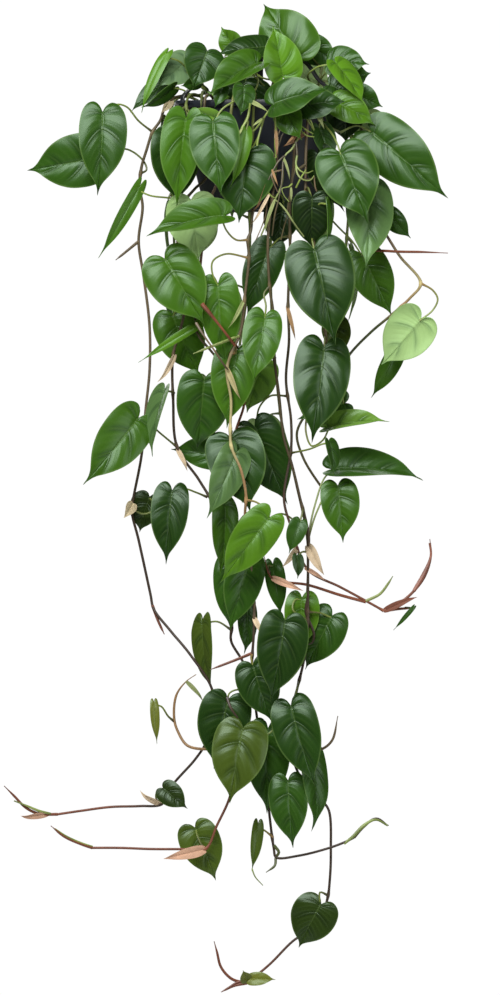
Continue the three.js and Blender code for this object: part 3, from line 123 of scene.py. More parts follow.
# The layout of the plant. A row goes on where the next line is indented, and commas part its
# fields. A point is u, v and depth in the front view. The rows of each vine:
#   tints   stops along the stem, each a share of its length and a colour
#   stem    points from the soil to the end
#   shoot   colour, points: a side shoot or root that ends in a tip
#   bract   colour and number, base, tip, width and roll. A sheath is one away from the stem
#   strand  colour and radius in millimetres, points: a thin stem or curl that crosses the pot
#   leaf    name, tone and base, tip, width roll and fold, points of the stalk from the stem on
# The number of a bract and the name of a leaf choose its random form, and colours and tones are
# keys of COLOURS.
LAYOUT = """
vine outer_left_vine
tints 0 olive_stem, 0.35 tan_stem, 0.55 brown_stem, 0.9 brown_stem, 0.95 red_stem
stem 205 130 -8, 205 112 -8, 203 96 -9, 190 93 -12, 171 97 -15, 164 106 -16, 160 118 -16, 152 130 -16,
  146 148 -16, 141 165 -16, 139 185 -16, 142 205 -16, 138 240 -17, 143 275 -18, 149 325 -19, 149 370 -20,
  145 410 -20, 141 455 -21, 133 497 -22, 131 510 -22, 138 540 -22, 150 595 -22, 153 609 -24, 170 631 -40,
  190 655 -50, 212 690 -54, 213 716 -54, 206 743 -52, 195 760 -50, 173 785 -46, 161 805 -44, 140 807 -43,
  110 808 -40, 80 812 -36, 57 815.5 -33
shoot red_stem 57 815.5 -33, 38 815 -31, 25 809 -30, 13 797 -30, 3 787 -30
shoot tan_stem 138 240 -17, 126 250 -22, 115 259 -26
shoot red_stem 152 606 -23, 158 622 -26, 164 635 -28
bract cream 0, 171 97 -15, 162 110 -21, 10 10
bract cream 1, 132.5 503 -23, 125 516.5 -32, 13 12
bract bract 2, 161 805 -44, 140 794 -50, 7 30
bract pink_bract 3, 48 815 -32, 20 819 -30, 7 20
strand yellow_stem 1.2, 50 815 -33, 38 812 -33, 26 807 -32, 13 802 -31
leaf a1 mid 102 111 -34, 97 193 -38, 50 0 14, 152 130 -16, 138 119 -20, 126 105 -26, 115 103 -30
leaf a2 mid 98 156 -12, 27 168 2, 56 0 12, 139 172 -16, 146 168 -14, 142 158 -12, 125 147 -11, 106 152 -10
leaf a3 olive 149 497 -21, 139 532 -17, 33 -10 14, 131 508 -22, 142 514 -29, 152 511 -31, 153 502 -26
leaf a4 olive 163 789 -52, 187 809 -56, 26 5 18, 161 804 -44, 156 800 -47, 157 792 -50
vine inner_left_vine
tints 0 olive_stem, 0.25 tan_stem, 0.4 brown_stem, 0.78 brown_stem, 0.85 red_stem
stem 216 130 -40, 216 112 -40, 212 96 -52, 206 96 -66, 204 108 -69, 205 140 -66, 206 177 -62, 195 188 -60,
  182 205 -56, 178 233 -52, 177 270 -52, 184 310 -53, 180 330 -53, 173 355 -52, 173 400 -50, 177 447 -50,
  199 480 -50, 217 512 -53, 225 545 -52, 228 580 -50, 232 625 -48, 231 641 -48, 244 665 -46, 247 690 -44,
  240 720 -44, 236 760 -46, 230 797 -48, 217 826 -50, 205 850 -52, 180 850 -50, 150 850 -46, 120 849 -42,
  92 849 -40
shoot red_stem 92 849 -40, 80 845 -38, 64 838 -36, 50 827 -34
shoot tan_bract 238 735 -45, 222 747 -55, 205 749.5 -57, 187 746 -50, 178 733 -46, 174 720 -44,
  176 696 -42, 186 682 -41, 196 675 -40
bract bract 0, 175 354 -52, 160 381 -60, 6.5 20
bract bract 1, 177 449 -50, 187 469 -58, 5.5 10
bract pink_bract 2, 205 850 -52, 166 859 -62, 13 0
bract pale_bract 3, 186 682 -41, 203 700 -46, 5 20
strand green_stem 1.3, 92 848 -40, 80 844 -38, 66 838 -36, 54 830 -34
leaf b1 fresh 139 187 -58, 99 257 -62, 15 15 16, 186 199 -57, 166 197 -58, 150 195 -58
leaf b2 wan 191 200 -72, 199 260 -76, 54 180 10, 182 205 -56, 184 207 -64, 192 206 -69
leaf b3 fresh 165 259 -86, 204 324 -92, 60 5 12, 177 250 -52, 171 249 -66, 166 253 -80
leaf b4 fresh 172 314 -40, 199 376 -40, 50 0 12, 183 305 -53, 178 304 -44
leaf b5 sage 164 391 -58, 151.5 455 -60, 34 -60 20, 174 393 -51, 169 391 -55
leaf b6 fresh 138 418 -54, 85 483 -76, 50 5 12, 177 447 -50, 160 433 -51, 147 422 -52
leaf b7 deep 172 491 -62, 166 563 -66, 39 0 14, 207 497 -51, 195 492 -56, 185 489 -60
leaf b8 fresh 225 504 -66, 220 575 -68, 34 35 16, 221 528 -53, 221 508 -60
leaf b9 mid 228 563 -56, 229 628 -54, 32 -20 14, 226 556 -52, 225 558 -54
leaf b10 moss 202 622 -42, 211 691 -42, 30 -45 16, 231 630 -48, 217 622 -43
leaf b11 deep 228 700 -66, 214 768 -64, 54 0 12, 246 694 -44, 238 690 -56, 229 694 -64
leaf b12 moss 195 829 -42, 215.5 881 -42, 42 0 10, 205 850 -52, 201 845 -50, 197 836 -46
leaf b13 khaki 154 704 -48, 157 744 -50, 10 10 18, 174 722 -44, 168 717 -45, 161 707 -47
vine left_front_vine
tints 0 green_stem, 0.3 tan_stem, 0.6 red_stem, 1 red_stem
stem 238 130 -55, 238 112 -55, 236 95 -64, 234 95 -76, 232 105 -82, 228 140 -78, 218 180 -72, 208 205 -64,
  203 240 -62, 200 275 -64, 203 306 -72, 224 330 -74, 237 347 -72, 245 375 -68, 244 405 -64, 236 430 -62,
  232 452 -62, 236 480 -62
shoot olive_stem 201 290 -68, 196 329 -68, 212 352 -68, 226 368 -68
strand red_stem 1.7, 202 304 -96, 211 315 -98, 223 330 -98, 235 346 -94
strand tan_stem 1.2, 196 323 -90, 204 336 -95, 214 350 -96, 222 362 -94, 228 370 -88
leaf c1 bright 201 323 -72, 139 362 -74, 10 0 16, 203 306 -72, 205 315 -71
leaf c2 mid 204 380 -68, 197 450 -56, 55 0 12, 226 368 -68, 214 371 -68
leaf c3 mid 226 456 -50, 171 449 -35, 34 0 14, 232 452 -62, 230 454 -56
vine centre_front_vine
tints 0 green_stem, 0.2 olive_stem, 0.34 tan_stem, 0.38 straw, 0.46 straw, 0.475 tan_bract,
  0.54 tan_bract, 0.58 tan_stem, 0.68 brown_stem, 1 brown_stem
stem 256 130 -58, 256 112 -58, 255 94 -68, 254 97 -82, 253 125 -78, 252 160 -74, 252 200 -76, 251 230 -82,
  248 240 -84, 249 258 -84, 245 295 -84, 241 330 -84, 227 368 -84, 231 400 -84, 231 445 -90, 241 470 -92,
  246 495 -91, 245 515 -84, 247 540 -72, 251 565 -68, 254 600 -66, 254 630 -66, 252 665 -64, 254 690 -60,
  257 718 -58, 262 745 -56, 266 775 -56, 270 820 -56, 274 850 -56, 276 858 -57, 300 856 -62, 330 848 -70,
  346 842 -68, 354 838 -67
shoot brown_stem 354 838 -67, 364 827 -66, 376 819 -65, 389 826 -65
shoot yellow_stem 239 336 -84, 213 346 -92, 193 354 -95
shoot red_stem 253 653 -65, 236 660 -62, 210 670 -61
shoot dark_green_stem 274 846 -56, 279 853 -57, 276 858 -56, 275 866 -60, 266 873 -62
bract pale_bract 0, 244 300 -84, 230 327 -92, 4.5 10
bract straw 1, 227 368 -84, 239 398 -92, 6 -10
bract bract 2, 254 618 -66, 262 634 -76, 6 0
strand green_stem 1.7, 344 844 -68, 353 837 -68, 365 825 -67, 376 820 -66, 388 826 -65
strand green_stem 0.6, 252 869 -64, 255 877 -64, 263 886 -65
leaf d1 fresh 224 216 -98, 148 236 -96, 43 -35 35, 248 240 -84, 236 240 -90, 226 230 -96
leaf d2 fresh 218 284 -82, 226 366 -80, 42 0 12, 249 258 -84, 226 254 -84, 213 261 -84, 212 272 -84
leaf d3 fresh 236 352 -76, 227 427 -78, 46 0 14, 233 354 -84, 236 348 -79
leaf d4 deep 231 438 -66, 250 511 -78, 60 0 10, 231 428 -88, 231 431 -80
leaf d5 bright 269 518 -94, 221 582 -88, 43 0 14, 246 500 -90, 256 502 -92, 265 509 -94
leaf d6 mid 249 560 -66, 230 630 -68, 40 10 12, 250 560 -69, 249 556 -66
leaf d7 mid 247 606 -56, 245 654 -54, 24 30 14, 254 604 -66, 251 596 -60
leaf d8 deep 253 666 -76, 272 722 -76, 44 0 12, 252 655 -65, 251 658 -72
leaf d9 mid 268 729 -68, 267 813 -64, 46 0 10, 259 728 -57, 265 722 -64
leaf d10 moss 258 825 -62, 252 871 -64, 13 10 18, 273 838 -56, 266 832 -59
leaf d11 sage 237 452 -77, 208 517 -88, 36 10 14, 231 446 -90, 232 450 -83
vine right_front_vine
tints 0 tan_stem, 0.3 olive_stem, 0.6 brown_stem, 0.93 brown_stem, 1 red_stem
stem 276 130 -56, 276 112 -56, 276 94 -68, 275 97 -83, 276 130 -86, 277 158 -86, 272 200 -86, 268 240 -86,
  270 290 -86, 273 311 -86, 274 355 -86, 279 395 -86, 284 438 -86, 292 465 -86, 300 498 -86, 308 532 -84,
  308 560 -82, 308 600 -78, 307 641 -74, 303 665 -72, 297 690 -70, 293 712 -64, 291 740 -58, 296 768 -56,
  306 785 -56, 322 801 -58, 329 811 -60, 331 850 -60, 330 880 -60, 327 902 -57, 316 926 -56, 293 942 -56,
  270 965 -56, 247 984 -56
shoot red_stem 247 984 -56, 232 980 -56, 221 968 -57, 217 953 -58, 214 942 -58
shoot red_stem 247 984 -56, 233 987 -57, 221 993 -58
shoot tan_stem 292 728 -61, 306 748 -64, 320 750 -66, 332 741 -68, 338 716 -70
shoot brown_stem 308 598 -78, 306 612 -76, 314 634 -72, 312 643 -70, 305 645 -72
bract bract 0, 276 132 -86, 276 158 -92, 4.5 10
bract bract 1, 308 545 -83, 322 573 -94, 12 -10
strand red_bract 1.5, 249 982 -56, 238 983 -57, 228 989 -58
sheath pink_bract 40, 305 568 -80, 325 580 -84, 5 10
leaf e1 fresh 265 317 -94, 253 383 -105, 40 0 14, 270 286 -86, 264 294 -90, 266 306 -93
leaf e2 young 262 364 -54, 247 412 -49, 42 0 12, 275 358 -86, 269 355 -60
leaf e3 mid 300 522 -94, 289 553 -96, 20 0 14, 303 508 -86, 302 514 -91
leaf e4 deep 297 556 -92, 298 578 -94, 14 30 16, 308 552 -83, 302 552 -89
leaf e5 deep 285 621 -92, 271 700 -90, 52 0 12, 308 622 -76, 297 614 -86
leaf e6 bright 302 598 -70, 300 652 -66, 36 0 12, 307 620 -76, 293 610 -76, 295 600 -72
leaf e7 mid 332 616 -70, 305 669 -62, 46 -15 14, 308 612 -77, 320 613 -74
leaf e8 fresh 338 486 -74, 343 542 -78, 40 0 14, 308 540 -83, 316 514 -80, 328 492 -76
leaf e9 mid 334 469 -68, 422 477 -62, 50 50 30, 308 536 -84, 315 505 -78, 326 476 -70
leaf e10 deep 291 706 -84, 315 785 -88, 48 0 12, 300 680 -71, 295 695 -80
leaf e11 mid 310 752 -68, 315 830 -68, 38 45 14, 294 755 -57, 303 748 -64
leaf e12 mid 288 781 -77, 293 847 -79, 40 0 12, 301 778 -56, 293 776 -70
leaf e13 moss 243 728 -86, 230 802 -92, 56 0 10, 292 722 -62, 280 724 -76, 266 735 -78, 254 730 -82
leaf e14 olive 321 905 -64, 299 948 -55, 47 -10 4, 328 896 -58, 320 893 -63
leaf e15 khaki 250 980 -62, 275 980 -64, 15 20 16, 247 984 -56, 248 982 -60
leaf e16 khaki 247 982 -60, 243 971 -66, 13 0 16, 249 983 -56, 248 983 -58
leaf e17 shade 284 202 -64, 276 250 -62, 38 0 14, 272 200 -86, 277 195 -78, 282 196 -70
vine centre_right_vine
tints 0 tan_stem, 0.35 olive_stem, 0.7 brown_stem, 1 red_stem
stem 290 130 -52, 290 112 -52, 291 95 -62, 292 96 -76, 293 115 -78, 294 160 -74, 290 200 -72, 290 250 -72,
  288 306 -72, 289 340 -72, 286 380 -72, 291 420 -72, 291 450 -72, 284 500 -72, 292 530 -72, 297 548 -72,
  309 571 -71, 340 587 -72, 366 601 -72, 384 611 -72
shoot red_stem 384 611 -72, 400 603 -72, 414 591 -72, 425 576 -72, 431 556 -72, 430 539 -72
shoot yellow_stem 366 601 -72, 380 594 -72, 388 584 -72, 393 576 -72
shoot red_stem 366 602 -72, 340 595 -71, 308 585 -69, 272 578 -68, 264 556 -66
shoot red_stem 384 611 -72, 398 609 -73, 413 608 -74
bract tan_bract 0, 287 306 -72, 295 338 -80, 4.5 0
bract bract 1, 297 548 -72, 284 566 -80, 7 10
bract pink_bract 2, 272 578 -68, 301 590 -78, 8 0
bract red_bract 3, 384 611 -72, 415 597 -80, 8 10
strand brown_stem 1.3, 227 697 -88, 231 708 -92, 238 718 -93
strand red_bract 1.9, 414 591 -78, 424 574 -75, 431 556 -73, 430 543 -72
leaf f1 deep 270 246 -66, 247 316 -68, 38 0 12, 290 236 -72, 280 238 -68
leaf f2 deep 255 427 -53, 287 503 -44, 52 0 12, 288 396 -72, 270 396 -58, 259 408 -50
leaf f3 mid 329 442 -108, 333 475 -110, 28 62 18, 291 453 -72, 310 449 -95, 323 444 -107
leaf f4 mid 273 565 -62, 281 616 -60, 21 0 12, 270 574 -67, 268 566 -64
leaf f5 mid 413 608 -76, 394 630 -77, 5 10 14, 405 608 -73, 410 608 -74
vine upper_right_vine
tints 0 tan_stem, 1 olive_stem
stem 300 130 -46, 300 112 -46, 302 95 -57, 305 93 -67, 308 98 -76, 306 150 -80, 306 190 -84, 310 225 -86,
  316 255 -88, 322 300 -86, 326 340 -84, 330 375 -82, 332 398 -78
shoot olive_stem 305 165 -82, 297 172 -86, 304 180 -88, 313 178 -88
bract brown_bract 0, 306.7 132 -78.6, 286 146 -90, 4.5 10
strand yellow_stem 1, 303 97 -74, 301 114 -84, 301 130 -86, 298 138 -87, 292 149 -88, 285 156 -89,
  283 166 -90, 283 176 -90, 280 190 -91, 275 200 -92, 272 210 -92, 267 222 -92, 261 236 -90
strand olive_stem 0.9, 285 156 -89, 279 161 -91, 273 171 -92, 268 181 -92, 264 188 -92, 261 198 -91,
  255 209 -90, 252 222 -88
strand tan_stem 0.8, 283 170 -90, 272 174 -93, 274 184 -94, 278 193 -94
strand green_stem 0.8, 268 182 -92, 267 190 -93, 271 196 -93, 276 199 -92
strand olive_stem 0.9, 296 142 -88, 297 156 -90, 295 170 -91, 292 183 -91, 290 195 -91, 288 207 -90,
  287 217 -90, 284 227 -89, 281 240 -88
strand green_stem 0.8, 292 184 -91, 289 187 -93, 282 189 -94, 284 196 -94, 289 202 -92
strand pale_bract 0.9, 275 200 -92, 280 204 -93, 286 211 -94, 293 222 -94, 304 237 -92
strand green_stem 0.9, 297 156 -90, 296 165 -92, 300 171 -94, 306 173.5 -94, 313 171 -90
strand yellow_stem 0.9, 296 165 -91, 297 173 -93, 300 178 -95, 306 181 -95, 311 180 -93, 314 176 -90
strand green_stem 0.7, 301 126 -86, 306 130 -88, 313 134 -86
strand green_stem 0.7, 301 131 -86, 307 136 -88, 314 137 -86
strand tan_stem 0.8, 268 181 -92, 267 198 -90, 266 214 -88, 262 226 -86, 256 240 -85
strand tan_stem 0.7, 314 176 -90, 316 190 -90, 321 197 -90, 328 200 -88
strand olive_stem 0.9, 283 162 -90, 282 180 -93, 279 198 -95, 275 214 -95, 272 236 -93
strand green_stem 0.8, 296 188 -91, 301 178 -94, 306 170 -95
strand tan_stem 0.7, 275 148 -90, 279 133 -92, 285 124 -91
strand green_stem 0.8, 307 114 -86, 311 122 -90, 314 130 -90
sheath brown_bract 42, 301 131 -88, 286 146 -94, 3.2 20
sheath pale_bract 43, 275 200 -93, 264 232 -93, 4 -20
sheath pale_bract 44, 284 159 -91, 290 179 -95, 2.8 10
sheath tan_bract 45, 272 170 -93, 278 186 -96, 2.6 0
sheath brown_bract 46, 266 184 -93, 255 212 -93, 3.4 30
sheath bract 47, 269 195 -93, 253 224 -92, 3.6 10
sheath pale_bract 48, 291 188 -92, 291 202 -94, 2.8 0
sheath tan_bract 51, 297 133 -90, 286 145 -96, 2.6 0
sheath pale_bract 52, 318 115 -86, 324 129 -90, 3.2 0
leaf g1 shade 312 198 -94, 312 250 -84, 42 0 12, 306 190 -84, 308 188 -90
leaf g2 fresh 327 203 -100, 325 250 -100, 20 74 16, 309 216 -86, 320 204 -96
leaf g3 deep 314 250 -104, 335 343 -117, 70 0 12, 313 240 -87, 312 240 -98
leaf g4 fresh 362 254 -46, 392 315 -46, 44 0 14, 308 205 -85, 325 214 -70, 341 229 -52, 352 240 -47
leaf g5 moss 335 322 -72, 344 354 -74, 32 -20 14, 325 330 -84, 329 320 -76
leaf g6 deep 324 348 -94, 312 441 -109, 58 0 12, 326 338 -84, 325 338 -90
leaf g7 mid 345 403 -70, 298 419 -70, 36 -10 14, 331 388 -80, 342 396 -74
vine right_rim_vine
tints 0 tan_stem, 0.42 tan_stem, 0.5 straw, 0.56 tan_bract, 0.62 dark_green_stem, 1 olive_stem
stem 326 130 -12, 326 112 -12, 336 95 -13, 346 95.5 -14, 351 100 -14, 357 115 -16, 363 130 -30,
  367 145 -42, 367 175 -45, 369 198 -54, 376 219 -66, 386 234 -69, 400 256 -67, 421 283 -64, 410 298 -60,
  390 316 -56, 371 332 -54, 348 357 -54, 340 378 -56, 325 395 -58, 307 413 -60, 297 433 -60, 303 457 -60,
  318 482 -60, 326 492 -60
shoot red_stem 369 198 -54, 366 224 -50, 370 247 -60, 390 251 -74, 423 252 -80, 448 253 -77
leaf h1 wan 421 319 -66, 382 364 -70, 50 180 10, 421 283 -64, 433 290 -65, 438 299 -66, 433 310 -66
leaf h2 fresh 398 350 -44, 372 397 -42, 21 0 14, 402 306 -58, 407 322 -52, 404 341 -47
leaf h3 young 327 427 -84, 388 421 -88, 31 42 40, 307 413 -60, 306 432 -68, 312 446 -78, 323 440 -82
leaf h4 sage 368 186 -58, 366 268 -86, 50 10 12, 367 168 -44, 370 177 -36
leaf h5 mid 388 212 -36, 411 237 -38, 22 0 14, 368 190 -51, 377 193 -40
vine right_spray
stem 314 130 -34, 314 112 -34, 316 94 -44, 319 93 -54, 321 98 -62, 321 110 -66, 322 122 -68
shoot dark_green_stem 322 122 -68, 332 128 -64, 342 132 -60
bract pale_bract 0, 321 121 -70, 317 115 -76, 4.5 0
strand yellow_stem 0.8, 302 113 -80, 306 118 -84, 310 124 -85, 314 131 -84
leaf i1 mid 340 153 -90, 367 222 -102, 62 0 10, 322 122 -68, 332 134 -80, 338 146 -88
leaf i2 deep 319 127 -72, 330 165 -76, 28 35 16, 322 121 -68, 320 122 -71
leaf i3 mid 372 132 -58, 447 197 -71, 58 0 10, 340 132 -60, 356 125 -58, 366 128 -55
leaf i4 shade 318 154 -76, 344 211 -78, 40 -30 14, 334 129 -63, 324 140 -68
vine left_spray
stem 214 130 -26, 214 112 -26, 200 95 -34, 190 94 -48, 186 104 -58, 188 114 -64
leaf j1 deep 174 133 -50, 178 204 -44, 52 10 12, 186 106 -59, 176 112 -54, 172 120 -51
leaf j2 fresh 186 118 -79, 177 205 -80, 46 -10 24, 187 110 -62, 189 111 -70
leaf j3 young 215 117 -76, 193 108 -78, 18 30 14, 188 114 -64, 200 120 -72, 212 121 -75
vine middle_spray
stem 247 130 -50, 247 112 -50, 249 97 -60, 249 95 -72, 249 98 -84, 249 114 -88, 240 133 -88
bract pale_bract 0, 249.5 101 -85, 267 111 -96, 5 10
bract pale_bract 1, 240 131 -88, 238 137 -92, 4 0
strand green_stem 1, 276 94 -80, 274 108 -90, 275 120 -92, 276 132 -92, 275 142 -93, 276 158 -93
strand olive_stem 0.9, 291 108 -84, 288 125 -88, 282 136 -89, 277 150 -89, 272 162 -88, 268 176 -87
strand olive_stem 1, 262 170 -84, 254 197 -84, 252 214 -85, 251 226 -84
strand green_stem 1.1, 250 104 -90, 249 112 -96, 247 120 -99, 243 127 -101, 240 133 -102
strand green_stem 1.1, 262 123 -92, 260 132 -94, 258 140 -95, 257 146 -95
sheath tan_bract 41, 276 131 -94, 277 157 -95, 3.5 10
sheath pale_bract 49, 262 119 -93, 252 127 -95, 2.6 0
sheath pale_bract 50, 242 129 -102, 238 137 -104, 2.4 0
leaf k1 fresh 258 62 -62, 208 95 -78, 46 -35 38, 249 96 -64, 256 88 -66, 258 79 -66, 255 70 -64
leaf k2 mid 213 122 -98, 221 195 -107, 52 -5 12, 249 96 -76, 234 102 -92, 222 110 -97
leaf k3 mid 273 105 -98, 328 90 -103, 48 35 25, 242 130 -88, 252 132 -92, 262 121 -96, 269 111 -98
leaf k4 deep 246 151 -86, 239 222 -90, 64 0 12, 264 118 -97, 259 135 -90, 254 145 -87
leaf k5 bright 246 133 -96, 231 187 -97, 17 15 26, 246 121 -88, 248 122 -91
leaf k6 mid 244 87 -87, 241 115 -92, 26 25 14, 249 95 -76, 244 88 -80
vine left_crown_shoot
stem 224 130 -12, 224 112 -12, 210 92 -18, 196 80 -20, 188 68 -22
leaf l1 bright 165 53 -34, 141 110 -40, 13 -25 10, 188 68 -22, 178 59 -30
leaf l2 deep 170 76 -14, 130 109 -18, 24 -30 16, 192 74 -21, 178 68 -18
leaf l3 pale 188 58 -10, 156 86 -34, 36 -10 12, 204 87 -19, 198 70 -16
leaf l4 mid 199 80 -44, 181 85 -50, 16 20 14, 207 90 -18, 207 87 -36
leaf l5 mid 174 86 -32, 142 106 -38, 20 50 16, 208 91 -18, 192 93 -26, 182 88 -29
vine left_front_shoot
stem 232 130 -36, 232 112 -36, 226 94 -46, 216 72 -48
shoot dark_green_stem 204 90 -46, 202 93 -62, 201 108 -79
leaf m1 deep 207 50 -52, 193 88 -60, 42 8 12, 216 72 -48, 212 58 -48
leaf m2 mid 223 86 -68, 215 107 -72, 15 0 14, 224 90 -47, 224 84 -56
leaf m3 young 226 96 -47, 204 90 -46, 5 0 10, 228 100 -43, 224 96 -46
vine top_shoot
stem 266 130 -14, 266 112 -14, 270 90 -26, 276 76 -34, 280 66 -38
leaf n1 deep 268 45 -34, 216 53 -42, 34 -42 14, 274 80 -32, 270 62 -34
leaf n2 bright 235 47 -24, 221 25 -22, 27 15 24, 270 90 -26, 252 72 -30, 238 58 -28
leaf n3 fresh 297 57 -36, 264 2 -12, 62 5 10, 280 66 -38, 287 56 -38
leaf n4 bright 283 76 -55, 273 25 -52, 48 -22 30, 276 76 -34, 282 80 -46, 286 76 -54
leaf n5 deep 246 77 -24, 237 108 -30, 58 0 12, 270 90 -26, 254 82 -25
vine right_crown_shoot
stem 312 130 -16, 312 112 -16, 316 92 -20, 320 78 -20, 322 66 -16
leaf o1 mid 308 42 -10, 338 60 -10, 32 0 12, 322 66 -16, 312 54 -12
leaf o2 mid 331 60 -36, 369 63 -40, 36 25 14, 320 78 -20, 328 68 -30
leaf o3 mid 342 74 -14, 371 71 -16, 36 -10 14, 320 80 -20, 332 78 -16
leaf o4 bright 336 62 -56, 363 104 -64, 36 50 16, 317 88 -20, 308 74 -42, 318 66 -52, 328 64 -56
leaf o5 deep 330 84 -52, 364 100 -54, 34 20 12, 316 92 -20, 320 90 -38
leaf o6 mid 354 92 -24, 383 105 -26, 28 0 14, 314 100 -18, 336 90 -20
leaf o7 bright 335 101 -62, 375 124 -62, 32 15 14, 315 97 -19, 326 94 -44, 338 98 -58
leaf o8 shade 346 100 -51, 346 142 -48, 42 0 12, 316 92 -20, 333 88 -23, 345 91 -36
vine front_crown_shoot
stem 280 130 -44, 280 112 -44, 282 94 -57, 283 92 -70
leaf p1 deep 300 106 -84, 346 101 -82, 34 20 14, 283 92 -70, 291 93 -84, 296 100 -85
leaf p2 fresh 284 108 -90, 301 140 -96, 30 -10 14, 283 92 -69, 284 96 -84, 284 102 -88
vine back_left_vine
stem 236 130 52, 236 112 52, 237 95 64, 240 96 80, 245 150 86, 250 230 86, 247 290 84, 240 340 82,
  231 400 80, 231 445 78, 242 482 76
leaf q1 mid 226 160 91, 232 214 93, 44 180 12, 244 140 85, 232 150 88
leaf q2 mid 196 213 92, 196 256 96, 44 180 12, 249 214 86, 222 204 90
leaf q3 mid 222 290 92, 228 356 96, 38 180 12, 247 286 84, 232 282 90
leaf q4 mid 208 380 88, 202 438 92, 42 180 12, 238 352 82, 218 368 86
leaf q5 mid 234 442 86, 242 502 90, 50 180 12, 231 430 79, 232 436 84
vine back_centre_vine
stem 272 130 56, 272 112 56, 275 94 66, 278 93 76, 280 98 85, 278 150 86, 271 240 86, 272 310 84,
  275 355 84, 282 420 82, 296 480 80, 308 540 78, 308 600 76
leaf r1 mid 262 112 98, 264 180 104, 46 180 12, 280 102 85, 270 104 92
leaf r7 mid 310 186 92, 322 250 96, 48 180 12, 276 176 86, 296 178 90
leaf r2 mid 312 266 94, 322 322 98, 36 180 12, 271 250 86, 286 248 92
leaf r3 mid 262 320 92, 256 378 94, 34 180 12, 272 312 84, 267 312 90
leaf r4 mid 262 424 90, 280 492 92, 42 180 12, 281 412 82, 270 414 88
leaf r5 mid 262 522 88, 234 566 90, 42 180 12, 306 530 78, 282 514 86
leaf r6 mid 284 624 84, 275 684 86, 42 180 12, 308 596 76, 296 612 82
vine right_side_vine
stem 308 130 32, 308 112 32, 332 94 24, 346 95 20, 351 104 19, 352 140 18, 350 200 18, 346 260 18,
  344 320 18, 332 356 20, 326 380 20
leaf s1 mid 358 146 14, 354 212 10, 54 100 12, 352 132 18, 356 136 16
leaf s2 mid 368 114 44, 386 170 50, 46 140 12, 351 104 19, 358 102 30, 364 106 40
leaf s3 mid 354 250 14, 350 318 12, 46 95 12, 348 236 18, 352 240 16
leaf s4 mid 330 356 28, 326 424 30, 44 150 12, 342 328 18, 336 342 24
vine left_side_vine
stem 212 130 20, 212 112 20, 190 94 21, 177 95 22, 171 104 22, 170 150 20, 172 200 20, 174 250 20,
  177 300 20
leaf t1 mid 166 120 26, 171 186 24, 44 -100 12, 171 108 22, 168 110 25
leaf t2 mid 167 206 14, 172 262 10, 44 -90 12, 171 190 20, 168 196 17
leaf t3 mid 170 272 24, 176 332 26, 40 -80 12, 175 260 20, 171 264 23
vine back_crown_shoot
stem 276 130 28, 276 112 28, 277 90 38, 280 70 42
leaf u1 mid 284 52 36, 278 12 26, 48 180 12, 280 70 42, 282 60 40
leaf u2 mid 300 66 60, 334 84 82, 44 180 12, 279 78 40, 290 66 52
leaf u3 mid 248 60 56, 214 74 76, 42 180 12, 279 76 41, 264 74 43, 252 66 50
leaf u4 mid 308 100 96, 310 160 104, 42 180 12, 278 84 39, 292 84 70, 302 92 90
leaf u5 mid 262 84 16, 222 90 24, 46 -75 12, 277 90 38, 270 86 24
leaf u6 mid 298 86 14, 334 93 22, 38 75 12, 278 82 39, 288 83 26
"""

# How many words stand between the kind of a row and its fields
WORDS = {"stem": 0, "shoot": 1, "bract": 1, "sheath": 1, "strand": 1, "leaf": 2}


def read_layout(text):
    """Each vine with its name, the tints along its stem, the stem's points and its other rows."""
    vines = []
    for line in text.strip().replace("\n  ", " ").split("\n"):
        kind, row = line.split(" ", 1)
        if kind == "vine":
            vines.append({"name": row, "tints": STEM_TINTS, "rows": []})
        elif kind == "tints":
            stops = [stop.split() for stop in row.split(", ")]
            vines[-1]["tints"] = [(float(share), COLOURS[colour]) for share, colour in stops]
        else:
            *words, row = row.split(" ", WORDS[kind])
            fields = [[float(value) for value in field.split()] for field in row.split(", ")]
            if kind == "stem":
                vines[-1]["stem"] = fields
            else:
                vines[-1]["rows"].append((kind, words, fields))
    return vines


def place(point):
    """A point of the front view in the frame."""
    u, v, depth = point
    return np.array([(u - EYE_U) * VIEW_UNIT, depth * MM, (EYE_V - v) * VIEW_UNIT])


def unit(vector):
    return vector / np.linalg.norm(vector)


# Curves

def smooth_path(points, step):
    """Points about a step apart on a smooth curve through the given points."""
    p = np.array(points, float)
    p = np.vstack([2 * p[0] - p[1], p, 2 * p[-1] - p[-2]])
    chunks = []
    for a, b, c, d in zip(p, p[1:], p[2:], p[3:]):
        count = max(2, int(np.ceil(np.linalg.norm(c - b) / step)))
        knots = [0.0]
        for start, end in ((a, b), (b, c), (c, d)):
            knots.append(knots[-1] + max(np.linalg.norm(end - start), 1e-9) ** 0.5)
        t = np.linspace(knots[1], knots[2], count, endpoint=False)[:, None]
        t0, t1, t2, t3 = knots
        ab = (t1 - t) / (t1 - t0) * a + (t - t0) / (t1 - t0) * b
        bc = (t2 - t) / (t2 - t1) * b + (t - t1) / (t2 - t1) * c
        cd = (t3 - t) / (t3 - t2) * c + (t - t2) / (t3 - t2) * d
        abc = (t2 - t) / (t2 - t0) * ab + (t - t0) / (t2 - t0) * bc
        bcd = (t3 - t) / (t3 - t1) * bc + (t - t1) / (t3 - t1) * cd
        chunks.append((t2 - t) / (t2 - t1) * abc + (t - t1) / (t2 - t1) * bcd)
    chunks.append(p[-2:-1])
    return np.vstack(chunks)


def path_shares(path):
    """The share of the length and the length itself up to each point."""
    lengths = np.concatenate([[0], np.cumsum(np.linalg.norm(np.diff(path, axis=0), axis=1))])
    return lengths / lengths[-1], lengths


def path_tangents(path):
    tangents = np.gradient(path, axis=0)
    return tangents / np.linalg.norm(tangents, axis=1)[:, None]


# Shapes

